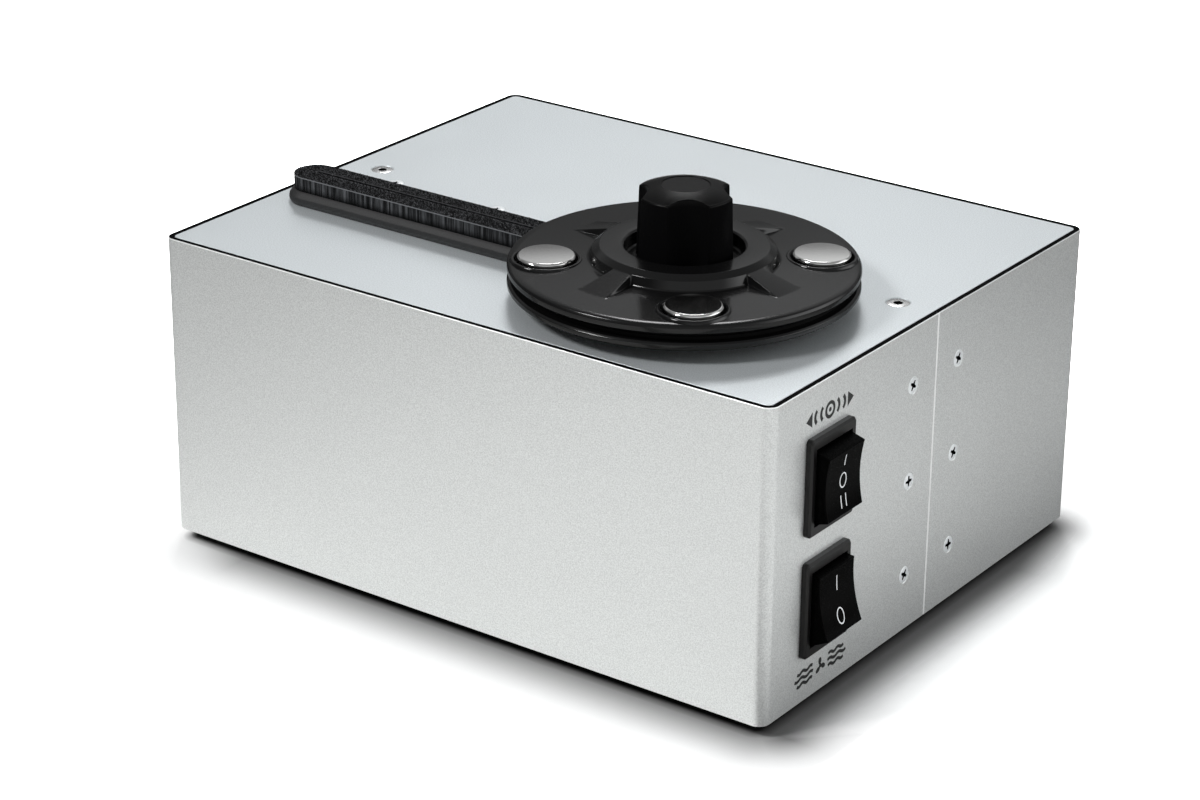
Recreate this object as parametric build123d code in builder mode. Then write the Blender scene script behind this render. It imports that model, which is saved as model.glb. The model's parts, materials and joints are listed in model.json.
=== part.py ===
from build123d import *
from math import acos, atan, cos, degrees, pi, radians, sin, sqrt, tan
import os

# Record cleaning machine: a composite-panel box with a suction brush and a magnetic record
# clamp on its deck, and the drive, the waste tank and the vacuum blower inside.
# Millimetres. +X to the right along the front, +Y to the back, +Z up.
# The origin is on the surface that the feet stand on, under the middle of the casing.

os.makedirs("parts", exist_ok=True)

# ---------------------------------------------------------------- driving dimensions

# Casing
case_width = 240.0
case_depth = 192.0
case_height = 106.0
case_corner_radius = 4.0
wall = 2.0                      # composite panel: two thin skins on a black core
seam_gap = 0.2                  # between the two casing halves
top_plate_thickness = 3.0
base_plate_thickness = 2.0
plate_gap = 0.15                # around the inset plates
foot_height = 4.0
foot_radius = 8.0
foot_taper = 1.0
foot_inset_x = 20.0
foot_inset_y = 18.0
foot_recess_depth = 2.0
bracket_thickness = 3.0
bracket_width = 44.0            # along the seam's two sides
bracket_tab_width = 18.0
bracket_tab_length = 20.0

# Screws
m4_radius = 2.0
m4_head_radius = 4.0
m4_hex_across_flats = 2.5
m3_radius = 1.5
m3_head_radius = 2.9
m3_recess_width = 0.7
pan_head_radius = 2.8
pan_head_height = 1.6
screw_clearance = 0.1
thread_clearance = 0.02
side_screw_from_seam = 14.0
side_screw_pitch = 33.0
top_screw_inset = 15.0
top_screw_length = 6.0
side_screw_length = 6.0
screw_tip_gap = 1.0             # left below a screw in its hole

# Turntable: distances from the casing's right and front faces
platter_from_right = 71.5
platter_from_front = 58.5
platter_radius = 56.0
platter_thickness = 3.0
platter_above_deck = 4.2
platter_rim_bevel = 0.9
record_gap = 2.5                # between the platter and the clamp
pad_inner_radius = 33.0
pad_outer_radius = 53.0
pad_thickness = 1.1
pin_radius = 3.55               # a record's centre hole is 7.24 mm
pin_height = 14.0
spindle_radius = 5.0
spindle_flange_radius = 17.0
spindle_boss_radius = 6.0
spindle_screw_circle = 12.0
running_clearance = 0.05
seat_clearance = 0.05
body_gap = 0.3                  # between pieces that move past each other
overrun = 1.0                   # of a cut past the face that it opens

# Clamp
clamp_radius = 56.0
clamp_rim_thickness = 3.2
clamp_crown = 0.8               # from the rim up to the foot of the hub
clamp_hub_radius = 30.4
clamp_hub_height = 8.6          # above the clamp's underside
clamp_hub_lean = 1.2            # of its wall, from foot to shoulder
clamp_hub_bevel = 2.2
clamp_recess_radius = 19.0
clamp_floor_thickness = 3.6
clamp_lower_edge = 0.8
clamp_upper_edge = 0.5
clamp_rim_band = 1.0
clamp_hub_shoulder = 1.5        # drop of the bevel
clamp_core_wall = 2.0
spoke_width = 9.0
spoke_foot_radius = 42.0
spoke_count = 4
magnet_radius = 9.3
magnet_circle = 43.5
magnet_thickness = 4.5
magnet_proud = 1.5
magnet_edge = 0.4
magnet_azimuth = 38.0
seat_rim_width = 2.0
seat_rim_height = 0.6
seat_rim_draft = 30.0
knob_radius = 16.3
knob_top_radius = 15.7
knob_height = 22.2              # up to the edge of its domed top
knob_dome_rise = 2.6            # from that edge to the dish
knob_flute_radius = 9.3
knob_flute_depth = 3.8
knob_wall = 2.4
knob_dish_radius = 7.8
knob_dish_depth = 0.3
knob_spigot_radius = 7.9
knob_screw_circle = 11.4

# Bearing and drive
bearing_length = 34.0
bearing_radius = 12.0
bearing_flange_radius = 24.0
bearing_flange_thickness = 4.0
bearing_screw_circle = 18.0
bush_radius = 8.0
bush_length = 10.0
bush_flange = 1.3
bush_flange_radius = 10.0
gear_module = 1.0
gear_teeth = 48
pinion_teeth = 18
gear_width = 7.0
gear_backlash = 0.3
gear_hub_radius = 9.0
gear_hub_height = 3.4
pressure_angle = 20.0
motor_radius = 18.5
motor_floor_gap = 6.0
gear_plate_gap = 4.0            # from the spindle gear down to the motor's bracket
motor_nose_radius = 6.0
motor_nose_height = 2.6
motor_shaft_radius = 3.0
motor_screw_circle = 15.5
motor_plate_thickness = 2.0
motor_bracket_width = 48.0
motor_bracket_depth = 41.0
motor_bracket_foot = 9.0
shaft_engagement = 12.0
clip_thickness = 0.8
clip_groove_depth = 0.6
clip_width = 1.8
spindle_tail = 2.0

# Brush
brush_inset = 7.4               # from the casing's left face
brush_radius = 9.5
brush_base_height = 4.8
brush_base_toe = 0.7
brush_base_waist = 2.4          # height of the base's widest part
brush_base_lip = 0.5            # beside the bristles, along the base's top
bristle_radius = 7.4
bristle_height = 10.1           # above the deck
bristle_root_depth = 2.6
front_row_width = 7.1
row_gap = 2.1
row_joint = 0.3
slot_end_margin = 9.0           # from the brush's left end to its suction slot
slot_right_margin = 3.0
brush_to_platter = 0.9
deck_slot_width = 5.0

# Suction side
duct_screw_from_brush = 29.5    # behind the brush's centre line
duct_screw_from_left = (27.5, 71.5)
duct_flange_thickness = 3.0
duct_flange_margin = 9.5
duct_ear_width = 8.0
duct_wall = 1.8
duct_seal_gap = 4.5             # from the seal up to the duct's neck
duct_outlet_radius = 8.0
duct_dip = 6.0                  # below the tank's rim
duct_outlet_from_left = 70.0
tank_to_bracket = 13.5
tank_width = 62.0
tank_height = 70.0
tank_wall = 2.0
tank_corner_radius = 6.0
tank_rim_width = 4.0
tank_rim_thickness = 3.0
tank_from_left = 10.0
tank_from_front = 10.0
gasket_thickness = 1.0
lid_thickness = 2.5
lid_screw_radius = 1.1
lid_screw_head_radius = 1.9
lid_screw_grip = 2.5
seal_width = 3.0
seal_height = 2.0
air_port_radius = 9.0
air_port_from_left = 90.0
air_port_wall = 1.6
air_port_length = 10.0
air_port_gap = 6.0
sleeve_thickness = 2.4
drain_from_left = 32.0
drain_height = 8.0              # above the base plate
drain_radius = 6.0
drain_bore_radius = 4.0
drain_spout_length = 13.0       # beyond the back panel
drain_collar_radius = 9.0
drain_collar_thickness = 2.0
drain_plug_length = 9.0
drain_plug_head = 4.0
drain_plug_clearance = 0.05

# Blower
blower_top_gap = 3.0
blower_floor_gap = 10.0
blower_wall = 2.0
blower_depth = 28.0
impeller_gap = 4.0
impeller_depth = 14.0
impeller_plate = 1.5
impeller_hub_radius = 7.0
blade_count = 9
blade_thickness = 1.2
blower_shaft_radius = 3.0
blower_motor_radius = 29.0
blower_motor_length = 46.0
blower_motor_edge = 3.0
blower_vent_radius = 4.0
blower_vent_count = 12
blower_bracket_thickness = 3.0
blower_bracket_width = 76.0
blower_bracket_foot = 14.0

# Switches
switch_from_front = 32.1
switch_heights = {"motor": 73.2, "vacuum": 32.0}   # above the casing's lower edge
bezel_width = 25.2
bezel_height = 32.5
bezel_thickness = 2.4
bezel_corner_radius = 1.6
bezel_edge = 0.7
switch_body_width = 22.6
switch_body_height = 28.6
switch_body_depth = 19.0
switch_opening_width = 20.4
switch_opening_height = 25.8
switch_cavity_depth = 13.0
rocker_width = 20.0
rocker_half_length = 11.9       # at the bezel's face
rocker_end_lean = 16.0
rocker_proud = 4.6
rocker_dish = 1.3
rocker_pivot_depth = 4.0        # behind the bezel's face
rocker_skirt = 1.5              # below the pivot
rocker_boss_radius = 2.6
rocker_pin_radius = 1.25
rocker_tilt = 10.0
panel_hole_clearance = 0.1
terminal_width = 4.8
terminal_thickness = 0.8
terminal_length = 8.0
terminal_pitch = 9.0

# Mains inlet and motor capacitor
inlet_from_right = 40.0
inlet_height = 30.0             # above the casing's lower edge
inlet_flange_width = 31.0
inlet_flange_height = 24.5
inlet_flange_thickness = 2.0
inlet_body_width = 27.6
inlet_body_height = 20.6
inlet_body_depth = 20.0
inlet_cavity_width = 24.4
inlet_cavity_height = 16.6
inlet_cavity_depth = 16.0
inlet_pin_width = 4.0
inlet_pin_thickness = 2.0
inlet_pin_pitch = 14.0
inlet_pin_raise = -1.0
inlet_pin_recess = 2.0          # from the flange's face to the tips of the pins
inlet_tab_length = 7.0
capacitor_radius = 15.0
capacitor_height = 42.0
capacitor_from_right = 45.0
capacitor_from_back = 62.0
capacitor_boss_radius = 6.0
capacitor_boss_height = 2.0
vent_slot_length = 26.0
vent_slot_width = 3.2
vent_slot_pitch = 6.0
vent_slot_count = 13

# ---------------------------------------------------------------- derived places

left = -case_width / 2
right = case_width / 2
front = -case_depth / 2
back = case_depth / 2
case_bottom = foot_height
deck = case_bottom + case_height
deck_under = deck - top_plate_thickness
floor = case_bottom + base_plate_thickness

platter_x = right - platter_from_right
platter_y = front + platter_from_front
platter_bottom = deck + platter_above_deck
platter_top = platter_bottom + platter_thickness
clamp_bottom = platter_top + record_gap
hub_top = clamp_bottom + clamp_hub_height
clamp_floor = clamp_bottom + clamp_floor_thickness
clamp_surface = clamp_bottom + clamp_rim_thickness
magnet_top = clamp_surface + seat_rim_height + magnet_proud
knob_edge = clamp_floor + knob_height
knob_top = knob_edge + knob_dome_rise

pinion_offset = gear_module * (gear_teeth + pinion_teeth) / 2
motor_x = platter_x
motor_y = platter_y - pinion_offset
bearing_bottom = deck - bearing_length
gear_top = bearing_bottom - bush_flange - body_gap
gear_bottom = gear_top - gear_hub_height - gear_width
teeth_top = gear_bottom + gear_width
spindle_bottom = gear_bottom - clip_thickness - spindle_tail
motor_plate_top = gear_bottom - gear_plate_gap
motor_top = motor_plate_top - motor_plate_thickness
motor_length = motor_top - floor - motor_floor_gap

brush_right = platter_x - platter_radius - brush_to_platter
brush_left = left + brush_inset
brush_length = brush_right - brush_left
brush_y = platter_y
brush_mid_x = (brush_left + brush_right) / 2
gap_front = brush_y - bristle_radius + front_row_width
gap_back = gap_front + row_gap
slot_left = brush_left + slot_end_margin
slot_right = brush_right - slot_right_margin
slot_mid_x = (slot_left + slot_right) / 2
slot_length = slot_right - slot_left
slot_y = (gap_front + gap_back) / 2

duct_screw_xs = [left + x for x in duct_screw_from_left]
duct_screw_y = brush_y + duct_screw_from_brush
duct_outlet_x = left + duct_outlet_from_left
tank_left = left + tank_from_left
tank_front = front + tank_from_front
tank_right = motor_x - motor_bracket_width / 2 - motor_bracket_foot - tank_to_bracket - tank_rim_width
tank_length = tank_right - tank_left
tank_mid_x = tank_left + tank_length / 2
tank_mid_y = tank_front + tank_width / 2
tank_back = tank_front + tank_width
tank_top = floor + tank_height
gasket_top = tank_top + gasket_thickness
lid_top = gasket_top + lid_thickness
air_x = left + air_port_from_left
blower_radius = (deck_under - floor - blower_top_gap - blower_floor_gap) / 2
impeller_radius = blower_radius - blower_wall - impeller_gap
blower_vent_circle = (blower_motor_radius + blower_radius - blower_wall) / 2
air_z = deck_under - blower_top_gap - blower_radius
drain_x = left + drain_from_left
drain_z = floor + drain_height
blower_front = tank_back + 2 * air_port_length + air_port_gap
blower_back = blower_front + blower_depth
blower_motor_back = blower_back + blower_motor_length

switch_y = front + switch_from_front
bezel_face = right + bezel_thickness
pivot_x = bezel_face - rocker_pivot_depth


# ---------------------------------------------------------------- helpers

def finish(builder, name):
    """Label a finished piece and write it."""
    builder.part.label = name
    export_step(builder.part, f"parts/{name}.step")


def facing(x, y, z, direction):
    """A plane at a point, with its normal along the direction and its y up where it is upright."""
    nx, ny, nz = direction
    x_dir = (1, 0, 0) if nz else (-ny, nx, 0)
    return Plane(origin=(x, y, z), x_dir=x_dir, z_dir=direction)


def radial_plane(x, y, azimuth):
    """An upright plane through an axis: its x runs outward at the azimuth, its y runs up."""
    a = radians(azimuth)
    return Plane(origin=(x, y, 0), x_dir=(cos(a), sin(a), 0), z_dir=(sin(a), -cos(a), 0))


def polar_points(x, y, radius, count, start=0.0):
    """Points spaced evenly around a circle."""
    step = 2 * pi / count
    angles = [radians(start) + i * step for i in range(count)]
    return [(x + radius * cos(a), y + radius * sin(a)) for a in angles]


def countersunk_screw(radius, head_radius, length, hex_flats=None):
    """A countersunk screw, its head's top at the origin and its shank down -Z."""
    head_depth = head_radius - radius
    with BuildPart() as screw:
        with BuildSketch(Plane.XZ):
            with BuildLine():
                Polyline(
                    (0, 0),
                    (head_radius, 0),
                    (radius, -head_depth),
                    (radius, -length),
                    (0, -length),
                    close=True,
                )
            make_face()
        revolve(axis=Axis.Z)
        with BuildSketch():
            if hex_flats:
                RegularPolygon(hex_flats / 2, 6, major_radius=False)
            else:
                Rectangle(head_radius * 1.1, m3_recess_width)
                Rectangle(m3_recess_width, head_radius * 1.1)
        extrude(amount=-head_depth * 0.8, mode=Mode.SUBTRACT)
    return screw.part


def pan_screw(radius, head_radius, length):
    """A pan-head screw, the underside of its head at the origin and its shank down -Z."""
    with BuildPart() as screw:
        with BuildSketch():
            Circle(head_radius)
        extrude(amount=pan_head_height)
        with BuildSketch():
            Circle(radius)
        extrude(amount=-length)
    return screw.part


def countersunk_hole(radius, head_radius, depth):
    """Cut the seat of a countersunk screw at the current locations."""
    CounterSinkHole(
        radius=radius + screw_clearance,
        counter_sink_radius=head_radius + screw_clearance,
        depth=depth,
        counter_sink_angle=90,
    )


m4_screw = countersunk_screw(m4_radius, m4_head_radius, top_screw_length, m4_hex_across_flats)
m3_screw = countersunk_screw(m3_radius, m3_head_radius, side_screw_length)
foot_screw = pan_screw(m3_radius, pan_head_radius, foot_height - foot_recess_depth + base_plate_thickness)
case_mid_z = case_bottom + case_height / 2
side_screw_zs = [case_mid_z + i * side_screw_pitch for i in (-1, 0, 1)]
top_screw_points = [(left + top_screw_inset, 0), (right - top_screw_inset, 0)]


# ---------------------------------------------------------------- casing

def casing_half(seam_plane, seam_side):
    """Half of the wrapped panel, with the three screw holes beside the seam on each side."""
    with BuildPart() as half:
        with BuildSketch(Plane.XY.offset(case_bottom)):
            RectangleRounded(case_width, case_depth, case_corner_radius)
            RectangleRounded(
                case_width - 2 * wall,
                case_depth - 2 * wall,
                case_corner_radius - wall,
                mode=Mode.SUBTRACT,
            )
        extrude(amount=case_height)
        split(bisect_by=seam_plane.offset(seam_gap / 2), keep=Keep.TOP)
        for face_x, outward in ((left, -1), (right, 1)):
            for z in side_screw_zs:
                with Locations(facing(face_x, seam_side * side_screw_from_seam, z, (outward, 0, 0))):
                    countersunk_hole(m3_radius, m3_head_radius, wall)
    return half.part


front_half = casing_half(Plane.XZ, -1)
rear_half = casing_half(Plane.ZX, 1)

with BuildPart() as front_casing:
    add(front_half)
    for height in switch_heights.values():
        with BuildSketch(facing(right, switch_y, case_bottom + height, (1, 0, 0))):
            Rectangle(
                switch_body_width + 2 * panel_hole_clearance,
                switch_body_height + 2 * panel_hole_clearance,
            )
        extrude(amount=-wall, mode=Mode.SUBTRACT)
finish(front_casing, "front_casing")

inlet_x = right - inlet_from_right
inlet_z = case_bottom + inlet_height
with BuildPart() as rear_casing:
    add(rear_half)
    with BuildSketch(facing(inlet_x, back, inlet_z, (0, 1, 0))):
        Rectangle(
            inlet_body_width + 2 * panel_hole_clearance,
            inlet_body_height + 2 * panel_hole_clearance,
        )
    extrude(amount=-wall, mode=Mode.SUBTRACT)
    with BuildSketch(facing(drain_x, back, drain_z, (0, 1, 0))):
        Circle(drain_radius + screw_clearance)
    extrude(amount=-wall, mode=Mode.SUBTRACT)
    with BuildSketch(facing(air_x, back, air_z, (0, 1, 0))):
        with GridLocations(vent_slot_pitch, vent_slot_length * 1.3, vent_slot_count, 2):
            SlotOverall(vent_slot_length, vent_slot_width, rotation=90)
    extrude(amount=-wall, mode=Mode.SUBTRACT)
finish(rear_casing, "rear_casing")


def splice_bracket(side):
    """Channel that joins the two casing halves inside a side seam and carries both plates."""
    web_out = side * (case_width / 2 - wall)
    web_in = web_out - side * bracket_thickness
    tab_end = web_out - side * bracket_tab_length
    with BuildPart() as bracket:
        with BuildSketch(Plane.XZ):
            with BuildLine():
                Polyline(
                    (web_out, floor),
                    (web_out, deck_under),
                    (tab_end, deck_under),
                    (tab_end, deck_under - bracket_thickness),
                    (web_in, deck_under - bracket_thickness),
                    (web_in, floor + bracket_thickness),
                    (tab_end, floor + bracket_thickness),
                    (tab_end, floor),
                    close=True,
                )
            make_face()
        extrude(amount=bracket_tab_width / 2, both=True)
        with BuildSketch(facing(web_out, 0, (floor + deck_under) / 2, (-side, 0, 0))):
            Rectangle(bracket_width, deck_under - floor)
        extrude(amount=bracket_thickness)
        for y in (-side_screw_from_seam, side_screw_from_seam):
            for z in side_screw_zs:
                with Locations(facing(web_out, y, z, (side, 0, 0))):
                    Hole(m3_radius + thread_clearance, depth=bracket_thickness)
        screw_x = side * (case_width / 2 - top_screw_inset)
        with Locations((screw_x, 0, deck_under)):
            Hole(m4_radius + thread_clearance, depth=deck_under - floor)
    return bracket


left_splice_bracket = splice_bracket(-1)
finish(left_splice_bracket, "left_splice_bracket")
right_splice_bracket = splice_bracket(1)
finish(right_splice_bracket, "right_splice_bracket")

with BuildPart() as side_screws:
    for face_x, outward in ((left, -1), (right, 1)):
        for y in (-side_screw_from_seam, side_screw_from_seam):
            for z in side_screw_zs:
                with Locations(facing(face_x, y, z, (outward, 0, 0))):
                    add(m3_screw)
finish(side_screws, "side_screws")

with BuildPart() as top_plate:
    with BuildSketch(Plane.XY.offset(deck_under)):
        RectangleRounded(
            case_width - 2 * (wall + plate_gap),
            case_depth - 2 * (wall + plate_gap),
            case_corner_radius - wall,
        )
        with Locations((platter_x, platter_y)):
            Circle(bearing_radius + screw_clearance, mode=Mode.SUBTRACT)
        with Locations((slot_mid_x, slot_y)):
            SlotOverall(slot_length, deck_slot_width, mode=Mode.SUBTRACT)
    extrude(amount=top_plate_thickness)
    with Locations(*[(x, y, deck) for x, y in top_screw_points]):
        countersunk_hole(m4_radius, m4_head_radius, top_plate_thickness)
    with Locations(*[(x, duct_screw_y, deck) for x in duct_screw_xs]):
        countersunk_hole(m3_radius, m3_head_radius, top_plate_thickness)
    bearing_screws_xy = polar_points(platter_x, platter_y, bearing_screw_circle, 3, 90)
    with Locations(*[(x, y, deck) for x, y in bearing_screws_xy]):
        countersunk_hole(m3_radius, m3_head_radius, top_plate_thickness)
finish(top_plate, "top_plate")

with BuildPart() as top_plate_screws:
    with Locations(*[(x, y, deck) for x, y in top_screw_points]):
        add(m4_screw)
finish(top_plate_screws, "top_plate_screws")

foot_points = [
    (sx * (case_width / 2 - foot_inset_x), sy * (case_depth / 2 - foot_inset_y))
    for sx in (-1, 1)
    for sy in (-1, 1)
]
motor_bracket_half = motor_bracket_width / 2 + motor_bracket_foot / 2
motor_foot_points = [
    (motor_x + sx * motor_bracket_half, motor_y + sy * motor_bracket_depth / 3)
    for sx in (-1, 1)
    for sy in (-1, 1)
]
blower_bracket_y = blower_back + blower_motor_length / 2
blower_foot_y = blower_bracket_y + blower_bracket_foot / 2
blower_foot_points = [
    (air_x + sx * blower_bracket_width / 3, blower_foot_y)
    for sx in (-1, 1)
]

with BuildPart() as base_plate:
    with BuildSketch(Plane.XY.offset(case_bottom)):
        RectangleRounded(
            case_width - 2 * (wall + plate_gap),
            case_depth - 2 * (wall + plate_gap),
            case_corner_radius - wall,
        )
        with Locations(*foot_points, *motor_foot_points, *blower_foot_points):
            Circle(m3_radius + thread_clearance, mode=Mode.SUBTRACT)
    extrude(amount=base_plate_thickness)
    with Locations(*[facing(x, y, case_bottom, (0, 0, -1)) for x, y in top_screw_points]):
        countersunk_hole(m4_radius, m4_head_radius, base_plate_thickness)
finish(base_plate, "base_plate")

with BuildPart() as base_plate_screws:
    with Locations(*[facing(x, y, case_bottom, (0, 0, -1)) for x, y in top_screw_points]):
        add(m4_screw)
finish(base_plate_screws, "base_plate_screws")

with BuildPart() as feet:
    with BuildSketch():
        with Locations(*foot_points):
            Circle(foot_radius - foot_taper)
    extrude(amount=foot_height, taper=-degrees(atan(foot_taper / foot_height)))
    with BuildSketch():
        with Locations(*foot_points):
            Circle(pan_head_radius + screw_clearance)
    extrude(amount=foot_recess_depth, mode=Mode.SUBTRACT)
    with BuildSketch():
        with Locations(*foot_points):
            Circle(m3_radius + screw_clearance)
    extrude(amount=foot_height, mode=Mode.SUBTRACT)
finish(feet, "feet")

with BuildPart() as foot_screws:
    with Locations(*[facing(x, y, foot_recess_depth, (0, 0, -1)) for x, y in foot_points]):
        add(foot_screw)
finish(foot_screws, "foot_screws")


# ---------------------------------------------------------------- brush

def stadium(radius, left_x, right_x):
    """A strip outline on the brush's centre line, round at the left end and square at the right."""
    with BuildSketch(mode=Mode.PRIVATE) as outline:
        with Locations((left_x + radius, brush_y)):
            Circle(radius)
        with Locations(((left_x + radius + right_x) / 2, brush_y)):
            Rectangle(right_x - left_x - radius, 2 * radius)
    return outline.sketch


bristle_left = brush_left + brush_radius - bristle_radius
groove_floor = deck + brush_base_height - bristle_root_depth

with BuildSketch(Plane.YZ.offset(brush_left + brush_radius)) as half_section:
    with BuildLine():
        y = brush_y
        Polyline(
            (y, deck),
            (y + brush_radius - brush_base_toe, deck),
            (y + brush_radius, deck + brush_base_toe),
            (y + brush_radius, deck + brush_base_waist),
            (y + bristle_radius + brush_base_lip, deck + brush_base_height),
            (y, deck + brush_base_height),
            close=True,
        )
    make_face()

with BuildPart() as brush_base:
    revolve(half_section.sketch, axis=Axis((brush_left + brush_radius, brush_y, 0), (0, 0, 1)))
    extrude(half_section.sketch, amount=brush_length - brush_radius)
    mirror(about=Plane.XZ.offset(-brush_y))
    with BuildSketch(Plane.XY.offset(groove_floor)):
        add(stadium(bristle_radius + seat_clearance, bristle_left - seat_clearance, brush_right + overrun))
    extrude(amount=bristle_root_depth, mode=Mode.SUBTRACT)
    with BuildSketch(Plane.XY.offset(deck)):
        with Locations((slot_mid_x, slot_y)):
            SlotOverall(slot_length, row_gap, mode=Mode.ADD)
    extrude(amount=brush_base_height, mode=Mode.SUBTRACT)
finish(brush_base, "brush_base")


def bristle_row(side):
    """One row of bristles as a block, -1 in front of the slot and 1 behind it.

    The two rows meet round the left end of the slot.
    """
    edge = gap_front if side < 0 else gap_back
    joint = slot_y + side * row_joint / 2
    with BuildPart() as row:
        with BuildSketch(Plane.XY.offset(groove_floor)):
            add(stadium(bristle_radius, bristle_left, brush_right))
            with Locations((brush_mid_x, (joint - side * bristle_radius * 2 + joint) / 2)):
                Rectangle(brush_length * 2, bristle_radius * 2, mode=Mode.SUBTRACT)
            with Locations(((slot_left + brush_right + overrun) / 2, (joint + edge) / 2)):
                Rectangle(brush_right + overrun - slot_left, abs(edge - joint), mode=Mode.SUBTRACT)
        extrude(amount=deck + bristle_height - groove_floor)
    return row


front_bristle_row = bristle_row(-1)
finish(front_bristle_row, "front_bristle_row")
rear_bristle_row = bristle_row(1)
finish(rear_bristle_row, "rear_bristle_row")

with BuildPart() as duct_screws:
    with Locations(*[(x, duct_screw_y, deck) for x in duct_screw_xs]):
        add(m3_screw)
finish(duct_screws, "duct_screws")


# ---------------------------------------------------------------- suction duct and waste tank

duct_flange_bottom = deck_under - duct_flange_thickness
duct_neck_top = lid_top + seal_height + duct_seal_gap
duct_outlet_bottom = tank_top - duct_dip
duct_outlet_length = duct_neck_top - duct_outlet_bottom
duct_mouth_width = deck_slot_width + 2 * duct_wall
ear_length = duct_screw_y + duct_ear_width / 2 - brush_y

with BuildPart() as suction_duct:
    with BuildSketch(Plane.XY.offset(duct_flange_bottom)):
        with Locations((slot_mid_x, slot_y)):
            RectangleRounded(
                slot_length + 2 * duct_flange_margin,
                deck_slot_width + 2 * duct_flange_margin,
                duct_wall,
            )
        for x in duct_screw_xs:
            with Locations((x, brush_y + ear_length / 2)):
                Rectangle(duct_ear_width, ear_length)
    extrude(amount=duct_flange_thickness)
    with BuildSketch(Plane(origin=(slot_mid_x, slot_y, duct_flange_bottom))):
        Rectangle(slot_length + 2 * duct_wall, duct_mouth_width)
    with BuildSketch(Plane(origin=(duct_outlet_x, brush_y, duct_neck_top))):
        Rectangle(2 * duct_outlet_radius, 2 * duct_outlet_radius)
    loft()
    with BuildSketch(Plane(origin=(duct_outlet_x, brush_y, duct_outlet_bottom))):
        Circle(duct_outlet_radius)
    extrude(amount=duct_outlet_length)
    with BuildSketch(Plane(origin=(slot_mid_x, slot_y, duct_flange_bottom))):
        Rectangle(slot_length, deck_slot_width)
    with BuildSketch(Plane(origin=(duct_outlet_x, brush_y, duct_neck_top))):
        Rectangle(2 * (duct_outlet_radius - duct_wall), 2 * (duct_outlet_radius - duct_wall))
    loft(mode=Mode.SUBTRACT)
    with BuildSketch(Plane(origin=(slot_mid_x, slot_y, duct_flange_bottom))):
        Rectangle(slot_length, deck_slot_width)
    extrude(amount=duct_flange_thickness, mode=Mode.SUBTRACT)
    with BuildSketch(Plane(origin=(duct_outlet_x, brush_y, duct_outlet_bottom))):
        Circle(duct_outlet_radius - duct_wall)
    extrude(amount=duct_outlet_length, mode=Mode.SUBTRACT)
    with Locations(*[(x, duct_screw_y, deck_under) for x in duct_screw_xs]):
        Hole(m3_radius + thread_clearance, depth=duct_flange_thickness)
finish(suction_duct, "suction_duct")

with BuildPart() as duct_seal:
    with BuildSketch(Plane(origin=(duct_outlet_x, brush_y, lid_top))):
        Circle(duct_outlet_radius + seal_width)
        Circle(duct_outlet_radius + seat_clearance, mode=Mode.SUBTRACT)
    extrude(amount=seal_height)
finish(duct_seal, "duct_seal")

rim_half_length = (tank_length + tank_rim_width) / 2
rim_half_width = (tank_width + tank_rim_width) / 2
lid_screw_points = [
    (tank_mid_x + sx * rim_half_length, tank_mid_y) for sx in (-1, 1)
] + [
    (tank_mid_x + sx * tank_length / 4, tank_mid_y + sy * rim_half_width)
    for sx in (-1, 1)
    for sy in (-1, 1)
]

with BuildPart() as waste_tank:
    with BuildSketch(Plane(origin=(tank_mid_x, tank_mid_y, floor))):
        RectangleRounded(tank_length, tank_width, tank_corner_radius)
    extrude(amount=tank_height)
    with BuildSketch(Plane(origin=(tank_mid_x, tank_mid_y, tank_top - tank_rim_thickness))):
        RectangleRounded(
            tank_length + 2 * tank_rim_width,
            tank_width + 2 * tank_rim_width,
            tank_corner_radius + tank_rim_width,
        )
    extrude(amount=tank_rim_thickness)
    with BuildSketch(Plane(origin=(tank_mid_x, tank_mid_y, floor + tank_wall))):
        RectangleRounded(
            tank_length - 2 * tank_wall,
            tank_width - 2 * tank_wall,
            tank_corner_radius - tank_wall,
        )
    extrude(amount=tank_height, mode=Mode.SUBTRACT)
    with BuildSketch(facing(air_x, tank_back - tank_wall, air_z, (0, 1, 0))):
        Circle(air_port_radius)
    extrude(amount=tank_wall + air_port_length)
    with BuildSketch(facing(air_x, tank_back - tank_wall, air_z, (0, 1, 0))):
        Circle(air_port_radius - air_port_wall)
    extrude(amount=tank_wall + air_port_length, mode=Mode.SUBTRACT)
    with BuildSketch(facing(drain_x, tank_back - tank_wall, drain_z, (0, 1, 0))):
        Circle(drain_radius + seat_clearance)
    extrude(amount=tank_wall, mode=Mode.SUBTRACT)
    with Locations(*[(x, y, tank_top) for x, y in lid_screw_points]):
        Hole(lid_screw_radius + thread_clearance, depth=lid_screw_grip)
finish(waste_tank, "waste_tank")

with BuildPart() as tank_gasket:
    with BuildSketch(Plane(origin=(tank_mid_x, tank_mid_y, tank_top))):
        RectangleRounded(
            tank_length + 2 * tank_rim_width,
            tank_width + 2 * tank_rim_width,
            tank_corner_radius + tank_rim_width,
        )
        RectangleRounded(
            tank_length - 2 * tank_wall,
            tank_width - 2 * tank_wall,
            tank_corner_radius - tank_wall,
            mode=Mode.SUBTRACT,
        )
    extrude(amount=gasket_thickness)
    with Locations(*[(x, y, gasket_top) for x, y in lid_screw_points]):
        Hole(lid_screw_radius + screw_clearance, depth=gasket_thickness)
finish(tank_gasket, "tank_gasket")

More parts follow.
